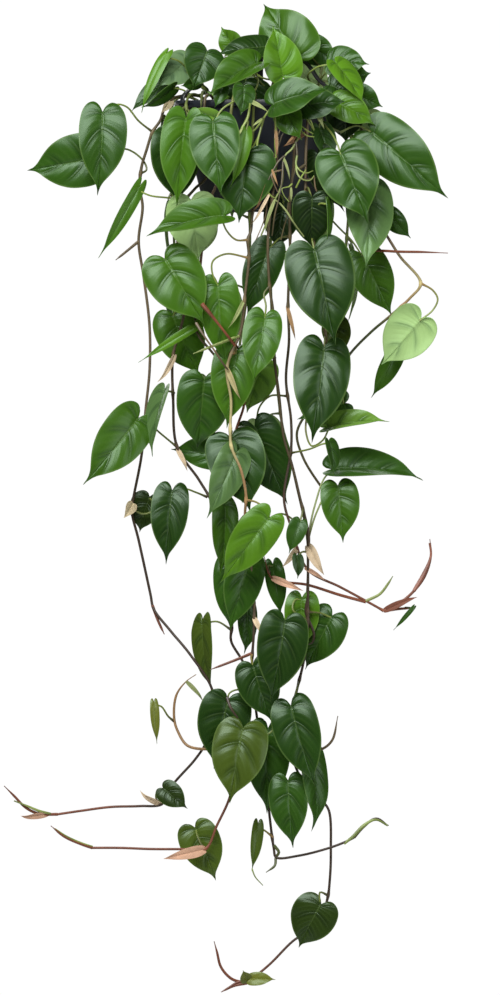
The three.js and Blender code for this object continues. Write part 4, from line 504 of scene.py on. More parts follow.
class Shape:
    """The corners, faces, map, tints and materials of one piece, gathered part by part."""

    def __init__(self):
        self.corners, self.tints, self.faces, self.map, self.materials = [], [], [], [], []
        self.count = 0

    def add_corners(self, points, tint=WHITE):
        """Takes the points in and returns the number of the first."""
        points = np.asarray(points, float).reshape(-1, 3)
        self.corners.append(points)
        self.tints.append(np.broadcast_to(np.asarray(tint, float), (len(points), 3)))
        self.count += len(points)
        return self.count - len(points)

    def add_faces(self, faces, material=0, uvs=None):
        self.faces.extend(faces)
        self.map.extend(uvs or [((0.0, 0.0),) * len(face) for face in faces])
        self.materials.extend([material] * len(faces))

    def add_band(self, rings, tint=WHITE, material=0, lengths=None):
        """An open skin through rings of corners. Returns the first corners of its two ends."""
        sides = len(rings[0])
        first = self.add_corners(np.array(rings), tint)
        last = first + (len(rings) - 1) * sides
        faces = []
        for start in range(first, last, sides):
            for k in range(sides):
                a, b = start + k, start + (k + 1) % sides
                faces.append((a, b, b + sides, a + sides))
        uvs = None
        if lengths is not None:
            turn = [k / sides for k in range(sides + 1)]
            uvs = [((start, low), (start, high), (end, high), (end, low))
                   for start, end in zip(lengths, lengths[1:]) for low, high in zip(turn, turn[1:])]
        self.add_faces(faces, material, uvs)
        return first, last

    def add_rod(self, rings, tint=WHITE, material=0, lengths=None):
        """A skin through rings of corners, closed by a flat face at each end."""
        first, last = self.add_band(rings, tint, material, lengths)
        ends = [tuple(range(start, start + len(rings[0]))) for start in (first, last)]
        self.add_faces([ends[0][::-1], ends[1]], material)

    def add_tube(self, path, radii, tint, material, sides):
        """A closed round skin along a path."""
        normal = np.array([0.3, -0.9, 0.2])
        angles = np.linspace(0, 2 * math.pi, sides, endpoint=False)[:, None]
        rings = []
        for point, tangent, radius in zip(path, path_tangents(path), radii):
            normal = unit(normal - normal.dot(tangent) * tangent)
            side = np.cross(tangent, normal)
            rings.append(point + radius * (np.cos(angles) * normal + np.sin(angles) * side))
        tint = np.asarray(tint, float)
        if tint.ndim == 2:
            tint = np.repeat(tint, sides, axis=0)
        self.add_rod(rings, tint, material, path_shares(path)[1] * 100)

    def add_sheet(self, layers, uv, tint, materials):
        """A thin blade. A layer is a grid of rows and columns with a point at the notch and tip."""
        rows, columns = uv.shape[:2]
        rims = []
        for (grid, notch, tip), material, turn in zip(layers, materials, (1, -1)):
            first = self.add_corners(grid, tint)
            start = self.add_corners([notch, tip], tint)
            end = start + 1
            faces, uvs = [], []
            for i in range(rows - 1):
                for k in range(columns - 1):
                    a = first + i * columns + k
                    faces.append((a, a + 1, a + columns + 1, a + columns)[::turn])
                    uvs.append((uv[i, k], uv[i, k + 1], uv[i + 1, k + 1], uv[i + 1, k])[::turn])
            for k in range(columns - 1):
                a, b = first + k, first + (rows - 1) * columns + k
                faces += [(start, a + 1, a)[::turn], (end, b, b + 1)[::turn]]
                uvs += [((0, uv[0, k][1]), uv[0, k + 1], uv[0, k])[::turn],
                        ((1, uv[-1, k][1]), uv[-1, k], uv[-1, k + 1])[::turn]]
            self.add_faces(faces, material, uvs)
            left = [first + i * columns for i in range(rows)]
            rims.append([start] + [corner + columns - 1 for corner in left] + [end] + left[::-1])
        edge_uv = ([(0.0, 1.0)] + [uv[i, -1] for i in range(rows)] + [(1.0, 1.0)]
                   + [uv[i, 0] for i in reversed(range(rows))])
        faces, uvs = [], []
        for i in range(len(rims[0])):
            k = (i + 1) % len(rims[0])
            faces.append((rims[1][i], rims[1][k], rims[0][k], rims[0][i]))
            uvs.append((edge_uv[i], edge_uv[k], edge_uv[k], edge_uv[i]))
        self.add_faces(faces, materials[0], uvs)

    def piece(self, name, materials, sharp=45):
        """The piece in the scene, with its edges sharp where they turn by more than sharp degrees."""
        mesh = bpy.data.meshes.new(name)
        mesh.from_pydata(np.vstack(self.corners).tolist(), [], self.faces)
        layer = mesh.uv_layers.new(name="UVMap")
        layer.data.foreach_set("uv", [value for face in self.map for spot in face for value in spot])
        tint = mesh.attributes.new("tint", "FLOAT_COLOR", "POINT")
        colours = np.hstack([np.vstack(self.tints), np.ones((self.count, 1))])
        tint.data.foreach_set("color", colours.astype(np.float32).ravel())
        for material in materials:
            mesh.materials.append(material)
        mesh.polygons.foreach_set("material_index", self.materials)
        mesh.polygons.foreach_set("use_smooth", [True] * len(self.faces))
        mesh.set_sharp_from_angle(angle=math.radians(sharp))
        mesh.validate()
        mesh.update()
        piece = bpy.data.objects.new(name, mesh)
        bpy.context.scene.collection.objects.link(piece)
        return piece


# Leaves

# From the notch round a lobe to the tip: share of the width, share of the length at the margin,
# and share of the length where the vein to that place leaves the midrib
HEART = (
    (0.012, -0.012, 0.000), (0.07, -0.085, 0.002), (0.18, -0.130, 0.006), (0.33, -0.100, 0.014),
    (0.44, -0.005, 0.028), (0.493, 0.140, 0.052), (0.498, 0.295, 0.096), (0.470, 0.440, 0.165),
    (0.400, 0.575, 0.260), (0.300, 0.690, 0.385), (0.190, 0.782, 0.530), (0.098, 0.850, 0.670),
    (0.045, 0.905, 0.790), (0.018, 0.955, 0.900), (0.004, 0.997, 0.990),
)
BRACT_OUTLINE = (
    (0.28, 0.00, 0.00), (0.42, 0.10, 0.08), (0.50, 0.30, 0.25), (0.44, 0.55, 0.50),
    (0.26, 0.80, 0.78), (0.04, 0.98, 0.98),
)
# Blades that are nearly flat
SMOOTH = "e14 g4 k5 l1 b13 d10 b10 f5 c1 f1 f2".split()
LEAF_UPPER, LEAF_UNDER, STALK, STEM, PAPER = range(5)


def random_form(name):
    rng = np.random.default_rng(zlib.crc32(name.encode()))
    form = {
        "skew": rng.uniform(-0.04, 0.04),
        "curl": rng.uniform(0.05, 0.13),
        "quilt": rng.uniform(0.055, 0.085),
        "stagger": rng.uniform(0.02, 0.07) * rng.choice((-1, 1)),
        "waves": rng.uniform(1.6, 3.0),
        "phase": rng.uniform(0, 1),
        "wave": rng.uniform(0.010, 0.026),
        "tip_drop": rng.uniform(-0.02, 0.10),
        "lobe_drop": rng.uniform(-0.05, 0.25),
        "sway": rng.uniform(-0.03, 0.03),
        "tone": rng.uniform(0.82, 1.2),
    }
    if name in SMOOTH:
        form["quilt"] *= 0.35
    return form


def blade_axes(base, tip, roll):
    """The same axes as in the solids: with no roll the upper face looks at the front."""
    along = tip - base
    length = np.linalg.norm(along)
    along = along / length
    face = np.array([0.0, -1.0, 0.0])
    face = unit(face - face.dot(along) * along)
    across = np.cross(face, along)
    c, s = math.cos(math.radians(roll)), math.sin(math.radians(roll))
    return along, face * c + across * s, across * c - face * s, length


def blade_grid(outline, rows, half, base, tip, width, roll, fold, form):
    """Points and map of a blade's middle sheet, and the way that its upper face looks.

    Along the grid k runs from notch to tip, and across it r runs from midrib to margin. Places on
    the flat blade are s and t, in shares of its width and length."""
    along, normal, side, length = blade_axes(base, tip, roll)
    knots = smooth_path(outline, OUTLINE_STEP)
    k = np.linspace(0, 1, rows)
    margin_s, margin_t, rib_t = (np.interp(k, path_shares(knots)[0], knots[:, i]) for i in range(3))
    r = np.abs(np.linspace(-1, 1, 2 * half + 1)) ** COLUMN_SPREAD
    sign = np.sign(np.linspace(-1, 1, 2 * half + 1))
    sign[half] = 0
    s = margin_s[:, None] * r[None, :]
    bow = VEIN_BOW * np.sin(math.pi * np.clip(k * 1.1, 0, 1))[:, None] * 4 * r * (1 - r)
    t = rib_t[:, None] + (margin_t - rib_t)[:, None] * r[None, :] - bow
    out = s * width * (1 + form["skew"] * sign[None, :])
    branch = k[:, None] + form["stagger"] * sign * r
    vein = np.abs(np.sin(math.pi * LATERALS * branch)) ** 0.8
    belly = (r ** 0.7 * (1 - r) ** 0.6)[None, :]
    calm = 1 - 0.7 * abs(math.sin(math.radians(roll))) ** 3
    calm = calm * min(1, width / (CALM_WIDTH * VIEW_UNIT))
    wave = np.sin(2 * math.pi * (form["waves"] * k[:, None] + form["phase"] + 0.23 * sign))
    rise = out * math.sin(math.radians(fold))
    rise = rise + MIDRIB_ARCH * length * 4 * t * (1 - t)
    rise = rise - form["curl"] * width * (2 * s) ** 2.4
    rise = rise + form["wave"] * calm * width * wave * r[None, :] ** 2.2
    rise = rise + form["quilt"] * calm * width * belly * (vein - 0.45)
    rise = rise - form["tip_drop"] * length * np.clip(t - 0.7, 0, None) ** 2 * 6
    rise = rise - form["lobe_drop"] * length * np.clip(0.12 - t, 0, None) * r
    groove = GROOVE_DEPTH * width * np.exp(-(r / GROOVE_REACH) ** 2)
    rise = rise - groove * (1 - 0.6 * np.clip(t, 0, 1))
    sway = form["sway"] * length * (4 * t * (1 - t)) * 0.5
    lateral = out * sign[None, :] * math.cos(math.radians(fold)) + sway
    points = (base + t[..., None] * length * along + lateral[..., None] * side
              + rise[..., None] * normal)
    reach = PLAIN_REACH if width < PLAIN_WIDTH * MM else 1.0
    trace = 0.5 / LATERALS + reach * (branch - 0.5 / LATERALS)
    uv = np.stack(np.broadcast_arrays(trace, 0.5 + 0.5 * sign * r), axis=-1)
    return points, uv, normal


def add_blade(shape, outline, base, tip, width, roll, fold, form, tint, rows, half, looks):
    points, uv, normal = blade_grid(outline, rows, half, base, tip, width, roll, fold, form)
    normals = np.cross(np.gradient(points, axis=1), np.gradient(points, axis=0))
    normals = normals / np.maximum(np.linalg.norm(normals, axis=-1, keepdims=True), 1e-12)
    facing = np.sign((normals @ normal).sum())
    offset = normals * facing * BLADE_THICKNESS * MM / 2
    lower = points - offset
    if outline is HEART:
        ridge = np.exp(-(np.abs(uv[..., 1] * 2 - 1) / RIDGE_REACH) ** 2)
        ridge = ridge * np.clip(1 - uv[..., 0], 0, 1) ** 0.5
        lower = lower - RIDGE_HEIGHT * MM * ridge[..., None] * normal
    notch = points[0, half] + (points[0, half] - points[1, half]) * 0.4
    end = points[-1, half] + (points[-1, half] - points[-2, half]) * 0.8
    lift = normal * BLADE_THICKNESS * MM / 3
    shape.add_sheet(((points + offset, notch + lift, end + lift), (lower, notch - lift, end - lift)),
                    uv, tint, looks)


def add_leaf(shape, name, tone, fields, stem_tint):
    """A blade, and the stalk that carries it from the stem to a little past its base."""
    base, tip, (width, roll, fold), *stalk = fields
    form = random_form(name)
    start, end = place(base), place(tip)
    add_blade(shape, HEART, start, end, width * VIEW_UNIT, roll, fold, form,
              np.array(tone) * form["tone"], ROWS, HALF_COLUMNS, (LEAF_UPPER, LEAF_UNDER))
    along, normal, side, length = blade_axes(start, end, roll)
    seat = start + along * SEAT_SHARE * length - normal * SEAT_DEPTH * MM
    path = smooth_path([place(p) for p in stalk] + [seat], STEM_STEP * MM)
    shares, lengths = path_shares(path)
    thick = 1 + 0.45 * np.exp(-(lengths / 0.004) ** 2) - 0.15 * shares
    thick = thick + 0.2 * np.exp(-((lengths[-1] - lengths) / 0.003) ** 2)
    light = np.array(COLOURS["green_stem"])[None, :] * (0.8 + 0.35 * shares[:, None])
    tints = light + (np.array(stem_tint)[None, :] - light) * np.exp(-(lengths / 0.012))[:, None]
    shape.add_tube(path, STALK_RADIUS * MM * thick, tints, STALK, STALK_SIDES)


def add_bract(shape, colour, fields):
    (number,), base, tip, (width, roll) = fields
    form = random_form("bract%d" % number)
    form.update(quilt=0.0, wave=0.05, curl=0.10, tip_drop=0.3, lobe_drop=0.0)
    add_blade(shape, BRACT_OUTLINE, place(base), place(tip), width * VIEW_UNIT, roll, BRACT_FOLD, form,
              np.array(colour) * form["tone"], BRACT_ROWS, BRACT_COLUMNS, (PAPER, PAPER))


def add_stem(shape, points, joints, tints):
    """The main stem, a little swollen at each node where a leaf or a bract sits."""
    path = smooth_path(points, STEM_STEP * MM)
    shares = path_shares(path)[0]
    near = np.min(np.linalg.norm(path[:, None, :] - np.array(joints)[None, :, :], axis=2), axis=1)
    swelling = NODE_SWELLING * np.exp(-(near / SWELLING_REACH) ** 2)
    radii = STEM_RADIUS * MM * (1 - STEM_TAPER * shares) * (1 + swelling)
    stops, colours = zip(*tints)
    tint = np.stack([np.interp(shares, stops, channel) for channel in zip(*colours)], axis=1)
    tint = tint * (1 + NODE_LIGHT * np.exp(-(near / LIGHT_REACH) ** 2))[:, None]
    shape.add_tube(path, radii, tint, STEM, STEM_SIDES)


def add_shoot(shape, colour, points):
    """A side shoot or root that narrows to a point near its end."""
    path = smooth_path([place(p) for p in points], STEM_STEP * MM)
    shares = path_shares(path)[0]
    radii = SHOOT_RADIUS * (1 - 0.3 * shares)
    radii = np.maximum(radii * np.clip((1 - shares) / 0.22, 0, 1) ** 0.7, SHOOT_TIP) * MM
    tint = np.array(colour) * (1.15 - 0.3 * shares[:, None])
    shape.add_tube(path, radii, tint, STEM, STALK_SIDES)


def add_strand(shape, colour, fields):
    """A thin stem or curl, uneven along its length."""
    (radius,), *points = fields
    path = smooth_path([place(p) for p in points], STEM_STEP * MM)
    shares, lengths = path_shares(path)
    uneven = 1 + 0.18 * np.sin(lengths / 0.007 + points[0][0])
    radii = radius * MM * (1 - 0.35 * shares) * uneven
    tint = np.array(colour) * (1 + 0.25 * np.sin(lengths / 0.005 + points[0][1]))[:, None]
    shape.add_tube(path, radii, tint, STALK, STALK_SIDES)


ADD_ROW = {"shoot": add_shoot, "bract": add_bract, "sheath": add_bract, "strand": add_strand}
# The number of a row's field that lies on the stem
JOINT_FIELD = {"leaf": 3, "bract": 1}


def dress_vine(vine):
    shape = Shape()
    tints, rows = vine["tints"], vine["rows"]
    stem = [place(p) for p in vine["stem"]]
    stem[0][2] = (SOIL_TOP_Z - ROOT_DEPTH) * MM
    stem[1][2] = (SOIL_TOP_Z + STEM_LIFT) * MM
    joints = [place(fields[JOINT_FIELD[kind]]) for kind, words, fields in rows if kind in JOINT_FIELD]
    add_stem(shape, stem, joints, tints)
    for kind, words, fields in rows:
        colour = COLOURS[words[-1]]
        if kind == "leaf":
            add_leaf(shape, words[0], colour, fields, tints[len(tints) // 2][1])
        else:
            ADD_ROW[kind](shape, colour, fields)
    piece = shape.piece(vine["name"] + "_dressed", VINE_MATERIALS)
    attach(piece, "root")
    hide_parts(vine["name"])


# Materials

def new_material(name, roughness):
    material = bpy.data.materials.new(name)
    material.use_nodes = True
    shader = material.node_tree.nodes["Principled BSDF"]
    shader.inputs["Roughness"].default_value = roughness
    return material, material.node_tree, shader


def add_node(tree, kind, values=None, **settings):
    node = tree.nodes.new(kind)
    for key, value in settings.items():
        setattr(node, key, value)
    for key, value in (values or {}).items():
        if isinstance(value, bpy.types.NodeSocket):
            tree.links.new(value, node.inputs[key])
        else:
            node.inputs[key].default_value = value
    return node


def maths(tree, operation, *values):
    return add_node(tree, "ShaderNodeMath", dict(enumerate(values)), operation=operation).outputs[0]


def times(tree, first, second):
    return maths(tree, "MULTIPLY", first, second)


def mixed(tree, factor, first, second, blend="MIX"):
    """The two colours mixed, with the factor as the second one's share."""
    return add_node(tree, "ShaderNodeMix", {0: factor, 6: first, 7: second},
                    data_type="RGBA", blend_type=blend).outputs[2]


def scaled(tree, colour, red, green, blue):
    return mixed(tree, 1.0, colour, (red, green, blue, 1), "MULTIPLY")


def noise(tree, scale, detail=3.0):
    spot = add_node(tree, "ShaderNodeTexCoord").outputs["Object"]
    values = {"Vector": spot, "Scale": scale, "Detail": detail, "Roughness": 0.55}
    return add_node(tree, "ShaderNodeTexNoise", values).outputs["Fac"]


def step_down(tree, value, low, high):
    """One below low, falling to nothing at high."""
    values = {"Value": value, "From Min": low, "From Max": high, "To Min": 1.0, "To Max": 0.0}
    return add_node(tree, "ShaderNodeMapRange", values, interpolation_type="SMOOTHSTEP").outputs[0]


def bump(tree, shader, height, strength, distance):
    node = add_node(tree, "ShaderNodeBump",
                    {"Height": height, "Strength": strength, "Distance": distance})
    tree.links.new(node.outputs[0], shader.inputs["Normal"])


def vein_masks(tree):
    """Side veins, the band round them where painted shade darkens the grooves, fine veins, midrib and the
    margin line that paints an edge highlight, from the blade's map.
    """
    uv = add_node(tree, "ShaderNodeUVMap").outputs[0]
    parts = add_node(tree, "ShaderNodeSeparateXYZ", {0: uv})
    along = parts.outputs[0]
    across = maths(tree, "ABSOLUTE", maths(tree, "MULTIPLY_ADD", parts.outputs[1], 2.0, -1.0))
    fade = step_down(tree, across, 0.5, 0.98)

    def veins(count, low, high):
        spread = maths(tree, "FRACT", times(tree, along, float(count)))
        centred = maths(tree, "ABSOLUTE", maths(tree, "SUBTRACT", spread, 0.5))
        return times(tree, step_down(tree, maths(tree, "SUBTRACT", 0.5, centred), low, high), fade)

    lateral = veins(LATERALS, 0.01, 0.06)
    # A band round each side vein where the colour is darkened: painted shade in the grooves
    groove_shade_mask = veins(LATERALS, 0.02, 0.22)
    fine = veins(LATERALS * 4, 0.05, 0.35)
    midrib = step_down(tree, across, 0.018, 0.055)
    # A thin band along the blade's edge that is mixed toward the pale colour: a painted edge highlight
    margin = maths(tree, "SUBTRACT", 1.0, step_down(tree, across, 0.94, 0.975))
    return lateral, groove_shade_mask, fine, midrib, margin


def leaf_material(name, roughness, under):
    """The skin of the upper side of a blade, or of its dull and paler under side."""
    material, tree, shader = new_material(name, roughness)
    tint = add_node(tree, "ShaderNodeAttribute", attribute_name="tint").outputs["Color"]
    lateral, groove_shade_mask, fine, midrib, margin = vein_masks(tree)
    if under:
        tint = mixed(tree, 0.60, tint, (0.30, 0.42, 0.16, 1))
    colour = mixed(tree, noise(tree, 38.0), scaled(tree, tint, 0.84, 0.86, 0.78),
                   scaled(tree, tint, 1.32, 1.30, 1.30))
    # A pale green for the veins and midrib, and for the margin line that paints an edge highlight
    pale = mixed(tree, 0.35, tint, (0.24, 0.38, 0.10, 1))
    # Painted shade: a darker copy of the colour for the grooves round the side veins, where less light
    # reaches
    groove_shade = scaled(tree, colour, 0.40, 0.48, 0.50)
    colour = mixed(tree, times(tree, groove_shade_mask, 0.4 if under else 0.8), colour, groove_shade)
    vein = scaled(tree, colour, 0.62, 0.66, 0.60) if under else pale
    for mask, share, shade in ((lateral, 0.6 if under else 0.16, vein),
                               (fine, 0.09 * 1.5 if under else 0.09, pale),
                               (midrib, 0.40, pale), (margin, 0.62, pale)):
        colour = mixed(tree, times(tree, mask, share), colour, shade)
    tree.links.new(colour, shader.inputs["Base Color"])
    shader.inputs["Specular IOR Level"].default_value = 0.42
    shader.inputs["Specular Tint"].default_value = (0.78, 1.0, 0.80, 1)
    sign = 1.0 if under else -1.0
    height = times(tree, lateral, 0.45 * sign)
    for mask, share in ((fine, 0.20 * sign), (midrib, 0.8 * sign), (noise(tree, 300.0), 0.08)):
        height = maths(tree, "ADD", height, times(tree, mask, share))
    bump(tree, shader, height, 0.8 if under else 0.55, 0.0006)
    return material


def stem_material(name, roughness, streak):
    material, tree, shader = new_material(name, roughness)
    tint = add_node(tree, "ShaderNodeAttribute", attribute_name="tint").outputs["Color"]
    colour = mixed(tree, noise(tree, 160.0, 4.0), scaled(tree, tint, 0.66, 0.64, 0.62),
                   scaled(tree, tint, 1.40, 1.34, 1.28))
    tree.links.new(colour, shader.inputs["Base Color"])
    bump(tree, shader, noise(tree, streak), 0.35, 0.0004)
    return material


def plain_material(name, colour, light, roughness, scale, depth):
    material, tree, shader = new_material(name, roughness)
    cloud = noise(tree, scale, 5.0)
    tree.links.new(mixed(tree, cloud, (*colour, 1), (*light, 1)), shader.inputs["Base Color"])
    bump(tree, shader, cloud, 0.6, depth)
    return material


# In the order of LEAF_UPPER to PAPER
VINE_MATERIALS = [
    leaf_material("leaf_upper", 0.31, False),
    leaf_material("leaf_under", 0.55, True),
    stem_material("leaf_stalk", 0.42, 300.0),
    stem_material("stem_skin", 0.50, 240.0),
    stem_material("papery_bract", 0.70, 500.0),
]
POT_PLASTIC = plain_material("pot_plastic", (0.012, 0.015, 0.021), (0.019, 0.023, 0.031),
                             0.42, 900.0, 0.0001)
HANGER_PLASTIC = plain_material("hanger_plastic", (0.013, 0.013, 0.015), (0.020, 0.020, 0.023),
                                0.36, 700.0, 0.0001)
PEAT = plain_material("peat", (0.012, 0.007, 0.004), (0.060, 0.034, 0.018), 0.92, 260.0, 0.0015)


# Pot, soil and hanger, in millimetres

def directions(angle):
    """Away from the pot's axis, and across."""
    a = math.radians(angle)
    return np.array([math.cos(a), math.sin(a), 0]), np.array([-math.sin(a), math.cos(a), 0])


def on_pot(radius, angle, z):
    a = math.radians(angle)
    return np.array([POT_X + radius * math.cos(a), radius * math.sin(a), z])


def inside_radius(z):
    return BASE_RADIUS + WALL_SLOPE * (z - WALL_FOOT_Z) - WALL


def lathe(shape, profile, segments, ripple=None):
    """A closed turned skin round the pot's axis. The profile starts and ends on the axis."""
    angles = np.linspace(0, 2 * math.pi, segments, endpoint=False)
    rings = []
    for radius, z in profile[1:-1]:
        ring = np.stack([POT_X + radius * np.cos(angles), radius * np.sin(angles),
                         np.full(segments, float(z))], axis=1)
        if ripple is not None:
            ring[:, 2] += ripple(ring[:, 0], ring[:, 1], radius)
        rings.append(ring * MM)
    first, last = shape.add_band(rings)
    bottom = shape.add_corners(np.array([[POT_X, 0, z] for z in (profile[0][1], profile[-1][1])]) * MM)
    for k in range(segments):
        n = (k + 1) % segments
        shape.add_faces([(bottom, first + n, first + k), (bottom + 1, last + k, last + n)])


def add_block(shape, length, width, height, centre, angle):
    """A block with its length pointing away from the pot's axis."""
    out, across = directions(angle)
    up = np.array([0, 0, 1.0])
    corners = [centre + x * length / 2 * out + y * width / 2 * across + z * height / 2 * up
               for z in (-1, 1) for y in (-1, 1) for x in (-1, 1)]
    first = shape.add_corners(np.array(corners) * MM)
    faces = [(0, 2, 3, 1), (4, 5, 7, 6), (0, 1, 5, 4), (2, 6, 7, 3), (0, 4, 6, 2), (1, 3, 7, 5)]
    shape.add_faces([tuple(first + k for k in face) for face in faces])


def bevelled(piece, width):
    """The piece with its sharp edges rounded."""
    modifier = piece.modifiers.new("bevel", "BEVEL")
    modifier.width = width
    modifier.segments = BEVEL_SEGMENTS
    modifier.limit_method = "ANGLE"
    modifier.angle_limit = math.radians(BEVEL_ANGLE)
    graph = bpy.context.evaluated_depsgraph_get()
    mesh = bpy.data.meshes.new_from_object(piece.evaluated_get(graph))
    piece.modifiers.clear()
    piece.data = mesh
    mesh.polygons.foreach_set("use_smooth", [True] * len(mesh.polygons))
    mesh.set_sharp_from_angle(angle=math.radians(SHARP_ANGLE))
    return piece


def dress_pot():
    floor = POT_BOTTOM_Z + FLOOR_RISE
    mouth = inside_radius(RIM_TOP_Z)
    profile = [
        (0, floor), (BASE_RADIUS - 6, floor), (BASE_RADIUS - 5, POT_BOTTOM_Z),
        (BASE_RADIUS - 1.6, POT_BOTTOM_Z), (BASE_RADIUS - 0.4, POT_BOTTOM_Z + 0.8),
        (BASE_RADIUS + 0.2, POT_BOTTOM_Z + 2.6), (WALL_TOP_RADIUS, BAND_Z),
        (RIM_RADIUS - 0.6, BAND_Z), (RIM_RADIUS, BAND_Z + 0.8), (RIM_RADIUS, RIM_TOP_Z - 1.2),
        (RIM_RADIUS - 0.5, RIM_TOP_Z - 0.3), (RIM_RADIUS - 1.6, RIM_TOP_Z),
        (mouth + 1.2, RIM_TOP_Z), (mouth, RIM_TOP_Z - 1.2), (inside_radius(floor + 4), floor + 4),
        (inside_radius(floor + 2) - 2, floor + WALL), (0, floor + WALL),
    ]
    shape = Shape()
    lathe(shape, profile, POT_SEGMENTS)
    wall = shape.piece("pot_wall", [POT_PLASTIC], 40)
    lugs = Shape()
    slot_in = STRAP_FOOT - STRAP_THICKNESS / 2 - CLEARANCE
    slot_out = STRAP_FOOT + STRAP_THICKNESS / 2 + CLEARANCE
    reach = RIM_RADIUS + LUG_REACH - 2
    cheek = (LUG_WIDTH - STRAP_WIDTH - 2 * CLEARANCE) / 2
    z = RIM_TOP_Z - LUG_THICKNESS / 2
    for angle in STRAP_ANGLES:
        across = directions(angle)[1]
        for start, end in ((RIM_RADIUS - 2.6, slot_in), (slot_out, reach)):
            centre = on_pot((start + end) / 2, angle, z)
            add_block(lugs, end - start, LUG_WIDTH, LUG_THICKNESS, centre, angle)
        for sign in (-1, 1):
            centre = on_pot((slot_in + slot_out) / 2, angle, z)
            centre = centre + across * sign * (LUG_WIDTH - cheek) / 2
            add_block(lugs, slot_out - slot_in, cheek, LUG_THICKNESS, centre, angle)
    ears = bevelled(lugs.piece("pot_lugs", [POT_PLASTIC]), LUG_BEVEL * MM)
    for piece in (wall, ears):
        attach(piece, "root")
        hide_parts("pot")


def dress_soil():
    rng = np.random.default_rng(SOIL_SEED)
    waves = [(rng.uniform(0.03, 0.35), rng.uniform(0, 2 * math.pi), rng.uniform(0, 6))
             for _ in range(SOIL_WAVES)]
    low = POT_BOTTOM_Z + SOIL_RISE
    edge = inside_radius(SOIL_TOP_Z) - CLEARANCE
    top = SOIL_TOP_Z - SOIL_SINK

    def crumbs(x, y, radius):
        """The rise of the surface, with none on the side of the soil."""
        height = np.zeros(len(x))
        if radius > edge - 1:
            return height
        for pitch, turn, phase in waves:
            height += (CRUMB_HEIGHT / pitch ** 0.5) * np.sin(
                pitch * (x * math.cos(turn) + y * math.sin(turn)) + phase)
        return np.clip(height, CRUMB_LOW, CRUMB_HIGH)

    profile = [(0, low), (inside_radius(low) - CLEARANCE, low),
               (inside_radius(SOIL_TOP_Z - 3) - CLEARANCE, SOIL_TOP_Z - 3)]
    profile += [(radius, top) for radius in np.linspace(edge - 1, 1.5, SOIL_RINGS)] + [(0, top)]
    shape = Shape()
    lathe(shape, profile, SOIL_SEGMENTS, crumbs)
    soil = shape.piece("peat_surface", [PEAT], 60)
    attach(soil, "root")
    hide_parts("soil")


def add_strap(shape, angle):
    """A flat band with soft edges that keeps its width square to the pot's radius."""
    knots = [(STRAP_FOOT, RIM_TOP_Z - 5.2), (STRAP_FOOT, RIM_TOP_Z - 2), (STRAP_FOOT, RIM_TOP_Z + 3),
             (STRAP_FOOT * 0.76, RIM_TOP_Z + 19), (STRAP_FOOT * 0.60, RIM_TOP_Z + 34),
             (STRAP_FOOT * 0.28, -HUB_DROP - 4), (1, -HUB_DROP)]
    path = smooth_path([on_pot(radius, angle, z) for radius, z in knots], STRAP_STEP) * MM
    across = directions(angle)[1]
    half, thin, soft = STRAP_WIDTH / 2, STRAP_THICKNESS / 2, STRAP_EDGE
    section = [(-half, -thin + soft), (-half + soft, -thin), (half - soft, -thin), (half, -thin + soft),
               (half, thin - soft), (half - soft, thin), (-half + soft, thin), (-half, thin - soft)]
    rings = []
    for point, tangent in zip(path, path_tangents(path)):
        out = np.cross(across, tangent)
        rings.append([point + (x * across + y * out) * MM for x, y in section])
    shape.add_rod(rings)


def dress_hanger():
    shape = Shape()
    for angle in STRAP_ANGLES:
        add_strap(shape, angle)
        barb = on_pot(STRAP_FOOT, angle, RIM_TOP_Z - LUG_THICKNESS - 1.4)
        add_block(shape, STRAP_THICKNESS + 2, STRAP_WIDTH + 2, 2, barb, angle)
    hub = [(0, -3.5), (5.2, -3.5), (6, -2.6), (5.4, 0), (3.9, 2.8), (3.2, 3.5), (0, 3.5)]
    lathe(shape, [(radius, -HUB_DROP + rise) for radius, rise in hub], HUB_SEGMENTS)
    ring = EYE_RADIUS + EYE_WIRE
    turns = [EYE_START * math.pi - share * EYE_SWEEP * math.pi
             for share in np.linspace(0, 1, EYE_POINTS)]
    eye = [(POT_X, 0, -HUB_DROP), (POT_X * 0.8, 0, -HUB_DROP + 9)]
    eye += [(ring * math.cos(turn), 0, -EYE_RADIUS + ring * math.sin(turn)) for turn in turns]
    path = smooth_path(eye, EYE_STEP) * MM
    shape.add_tube(path, np.full(len(path), EYE_WIRE * MM), WHITE, 0, EYE_SIDES)
    hanger = shape.piece("strap_hanger", [HANGER_PLASTIC], 40)
    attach(hanger, "root")
    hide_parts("hanger")


dress_pot()
dress_soil()
dress_hanger()
for vine in read_layout(LAYOUT):
    dress_vine(vine)


# Camera, light and stage, in metres

PLANT_DEPTH = -0.080
CENTRE = np.array([(FRAME_WIDTH / 2 - EYE_U) * VIEW_UNIT, PLANT_DEPTH,
                   (EYE_V - FRAME_HEIGHT / 2) * VIEW_UNIT])
CAMERA_DISTANCE, SENSOR, CLIP_END = 12.0, 36.0, 60
FLOOR_Z, FLOOR_REACH = -1.7, 3
WORLD_LIGHT, BACKDROP_LIGHT = 0.06, 0.96

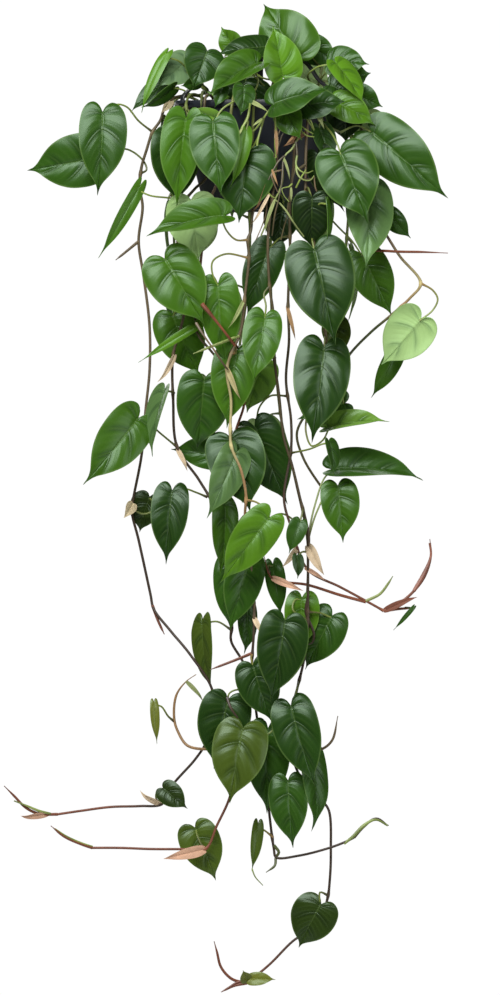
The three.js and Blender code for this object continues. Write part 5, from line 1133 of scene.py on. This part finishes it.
camera_data = bpy.data.cameras.new("camera")
camera_data.sensor_width = SENSOR
camera_data.lens = SENSOR * CAMERA_DISTANCE / (FRAME_HEIGHT * VIEW_UNIT)
camera_data.clip_end = CLIP_END
camera = bpy.data.objects.new("camera", camera_data)
camera.location = CENTRE + np.array([0, -CAMERA_DISTANCE, 0])
camera.rotation_euler = (math.radians(90), 0, 0)
bpy.context.scene.collection.objects.link(camera)
bpy.context.scene.camera = camera


def add_softbox(name, spot, aim, size, watts):
    light = bpy.data.lights.new(name, "AREA")
    light.shape = "RECTANGLE"
    light.size, light.size_y = size
    light.energy = watts
    box = bpy.data.objects.new(name, light)
    box.location = spot
    box.rotation_euler = (Vector(aim) - Vector(spot)).to_track_quat("-Z", "Y").to_euler()
    bpy.context.scene.collection.objects.link(box)


add_softbox("key", (-0.60, -1.45, 0.95), (0, 0, -0.30), (1.6, 1.2), 54)
add_softbox("fill", (1.9, -1.2, -0.1), (0, 0, -0.45), (1.4, 1.9), 18)
add_softbox("back", (-0.6, 1.9, 0.9), (0, 0, -0.40), (2.0, 2.0), 34)

# The camera sees a light backdrop that hardly lights the plant
world = bpy.data.worlds.new("studio")
world.use_nodes = True
bpy.context.scene.world = world
background = world.node_tree.nodes["Background"]
background.inputs["Color"].default_value = (1, 1, 1, 1)
ray = add_node(world.node_tree, "ShaderNodeLightPath")
seen = times(world.node_tree, ray.outputs[0], BACKDROP_LIGHT)
strength = maths(world.node_tree, "ADD", WORLD_LIGHT, seen)
world.node_tree.links.new(strength, background.inputs["Strength"])
bpy.context.scene.view_settings.view_transform = "Standard"

floor_mesh = bpy.data.meshes.new("floor")
corners = [(x * FLOOR_REACH, y * FLOOR_REACH, FLOOR_Z) for x, y in ((-1, -1), (1, -1), (1, 1), (-1, 1))]
floor_mesh.from_pydata(corners, [], [(0, 1, 2, 3)])
floor_object = bpy.data.objects.new("floor", floor_mesh)
floor_mesh.materials.append(new_material("floor_paint", 0.9)[0])
bpy.context.scene.collection.objects.link(floor_object)
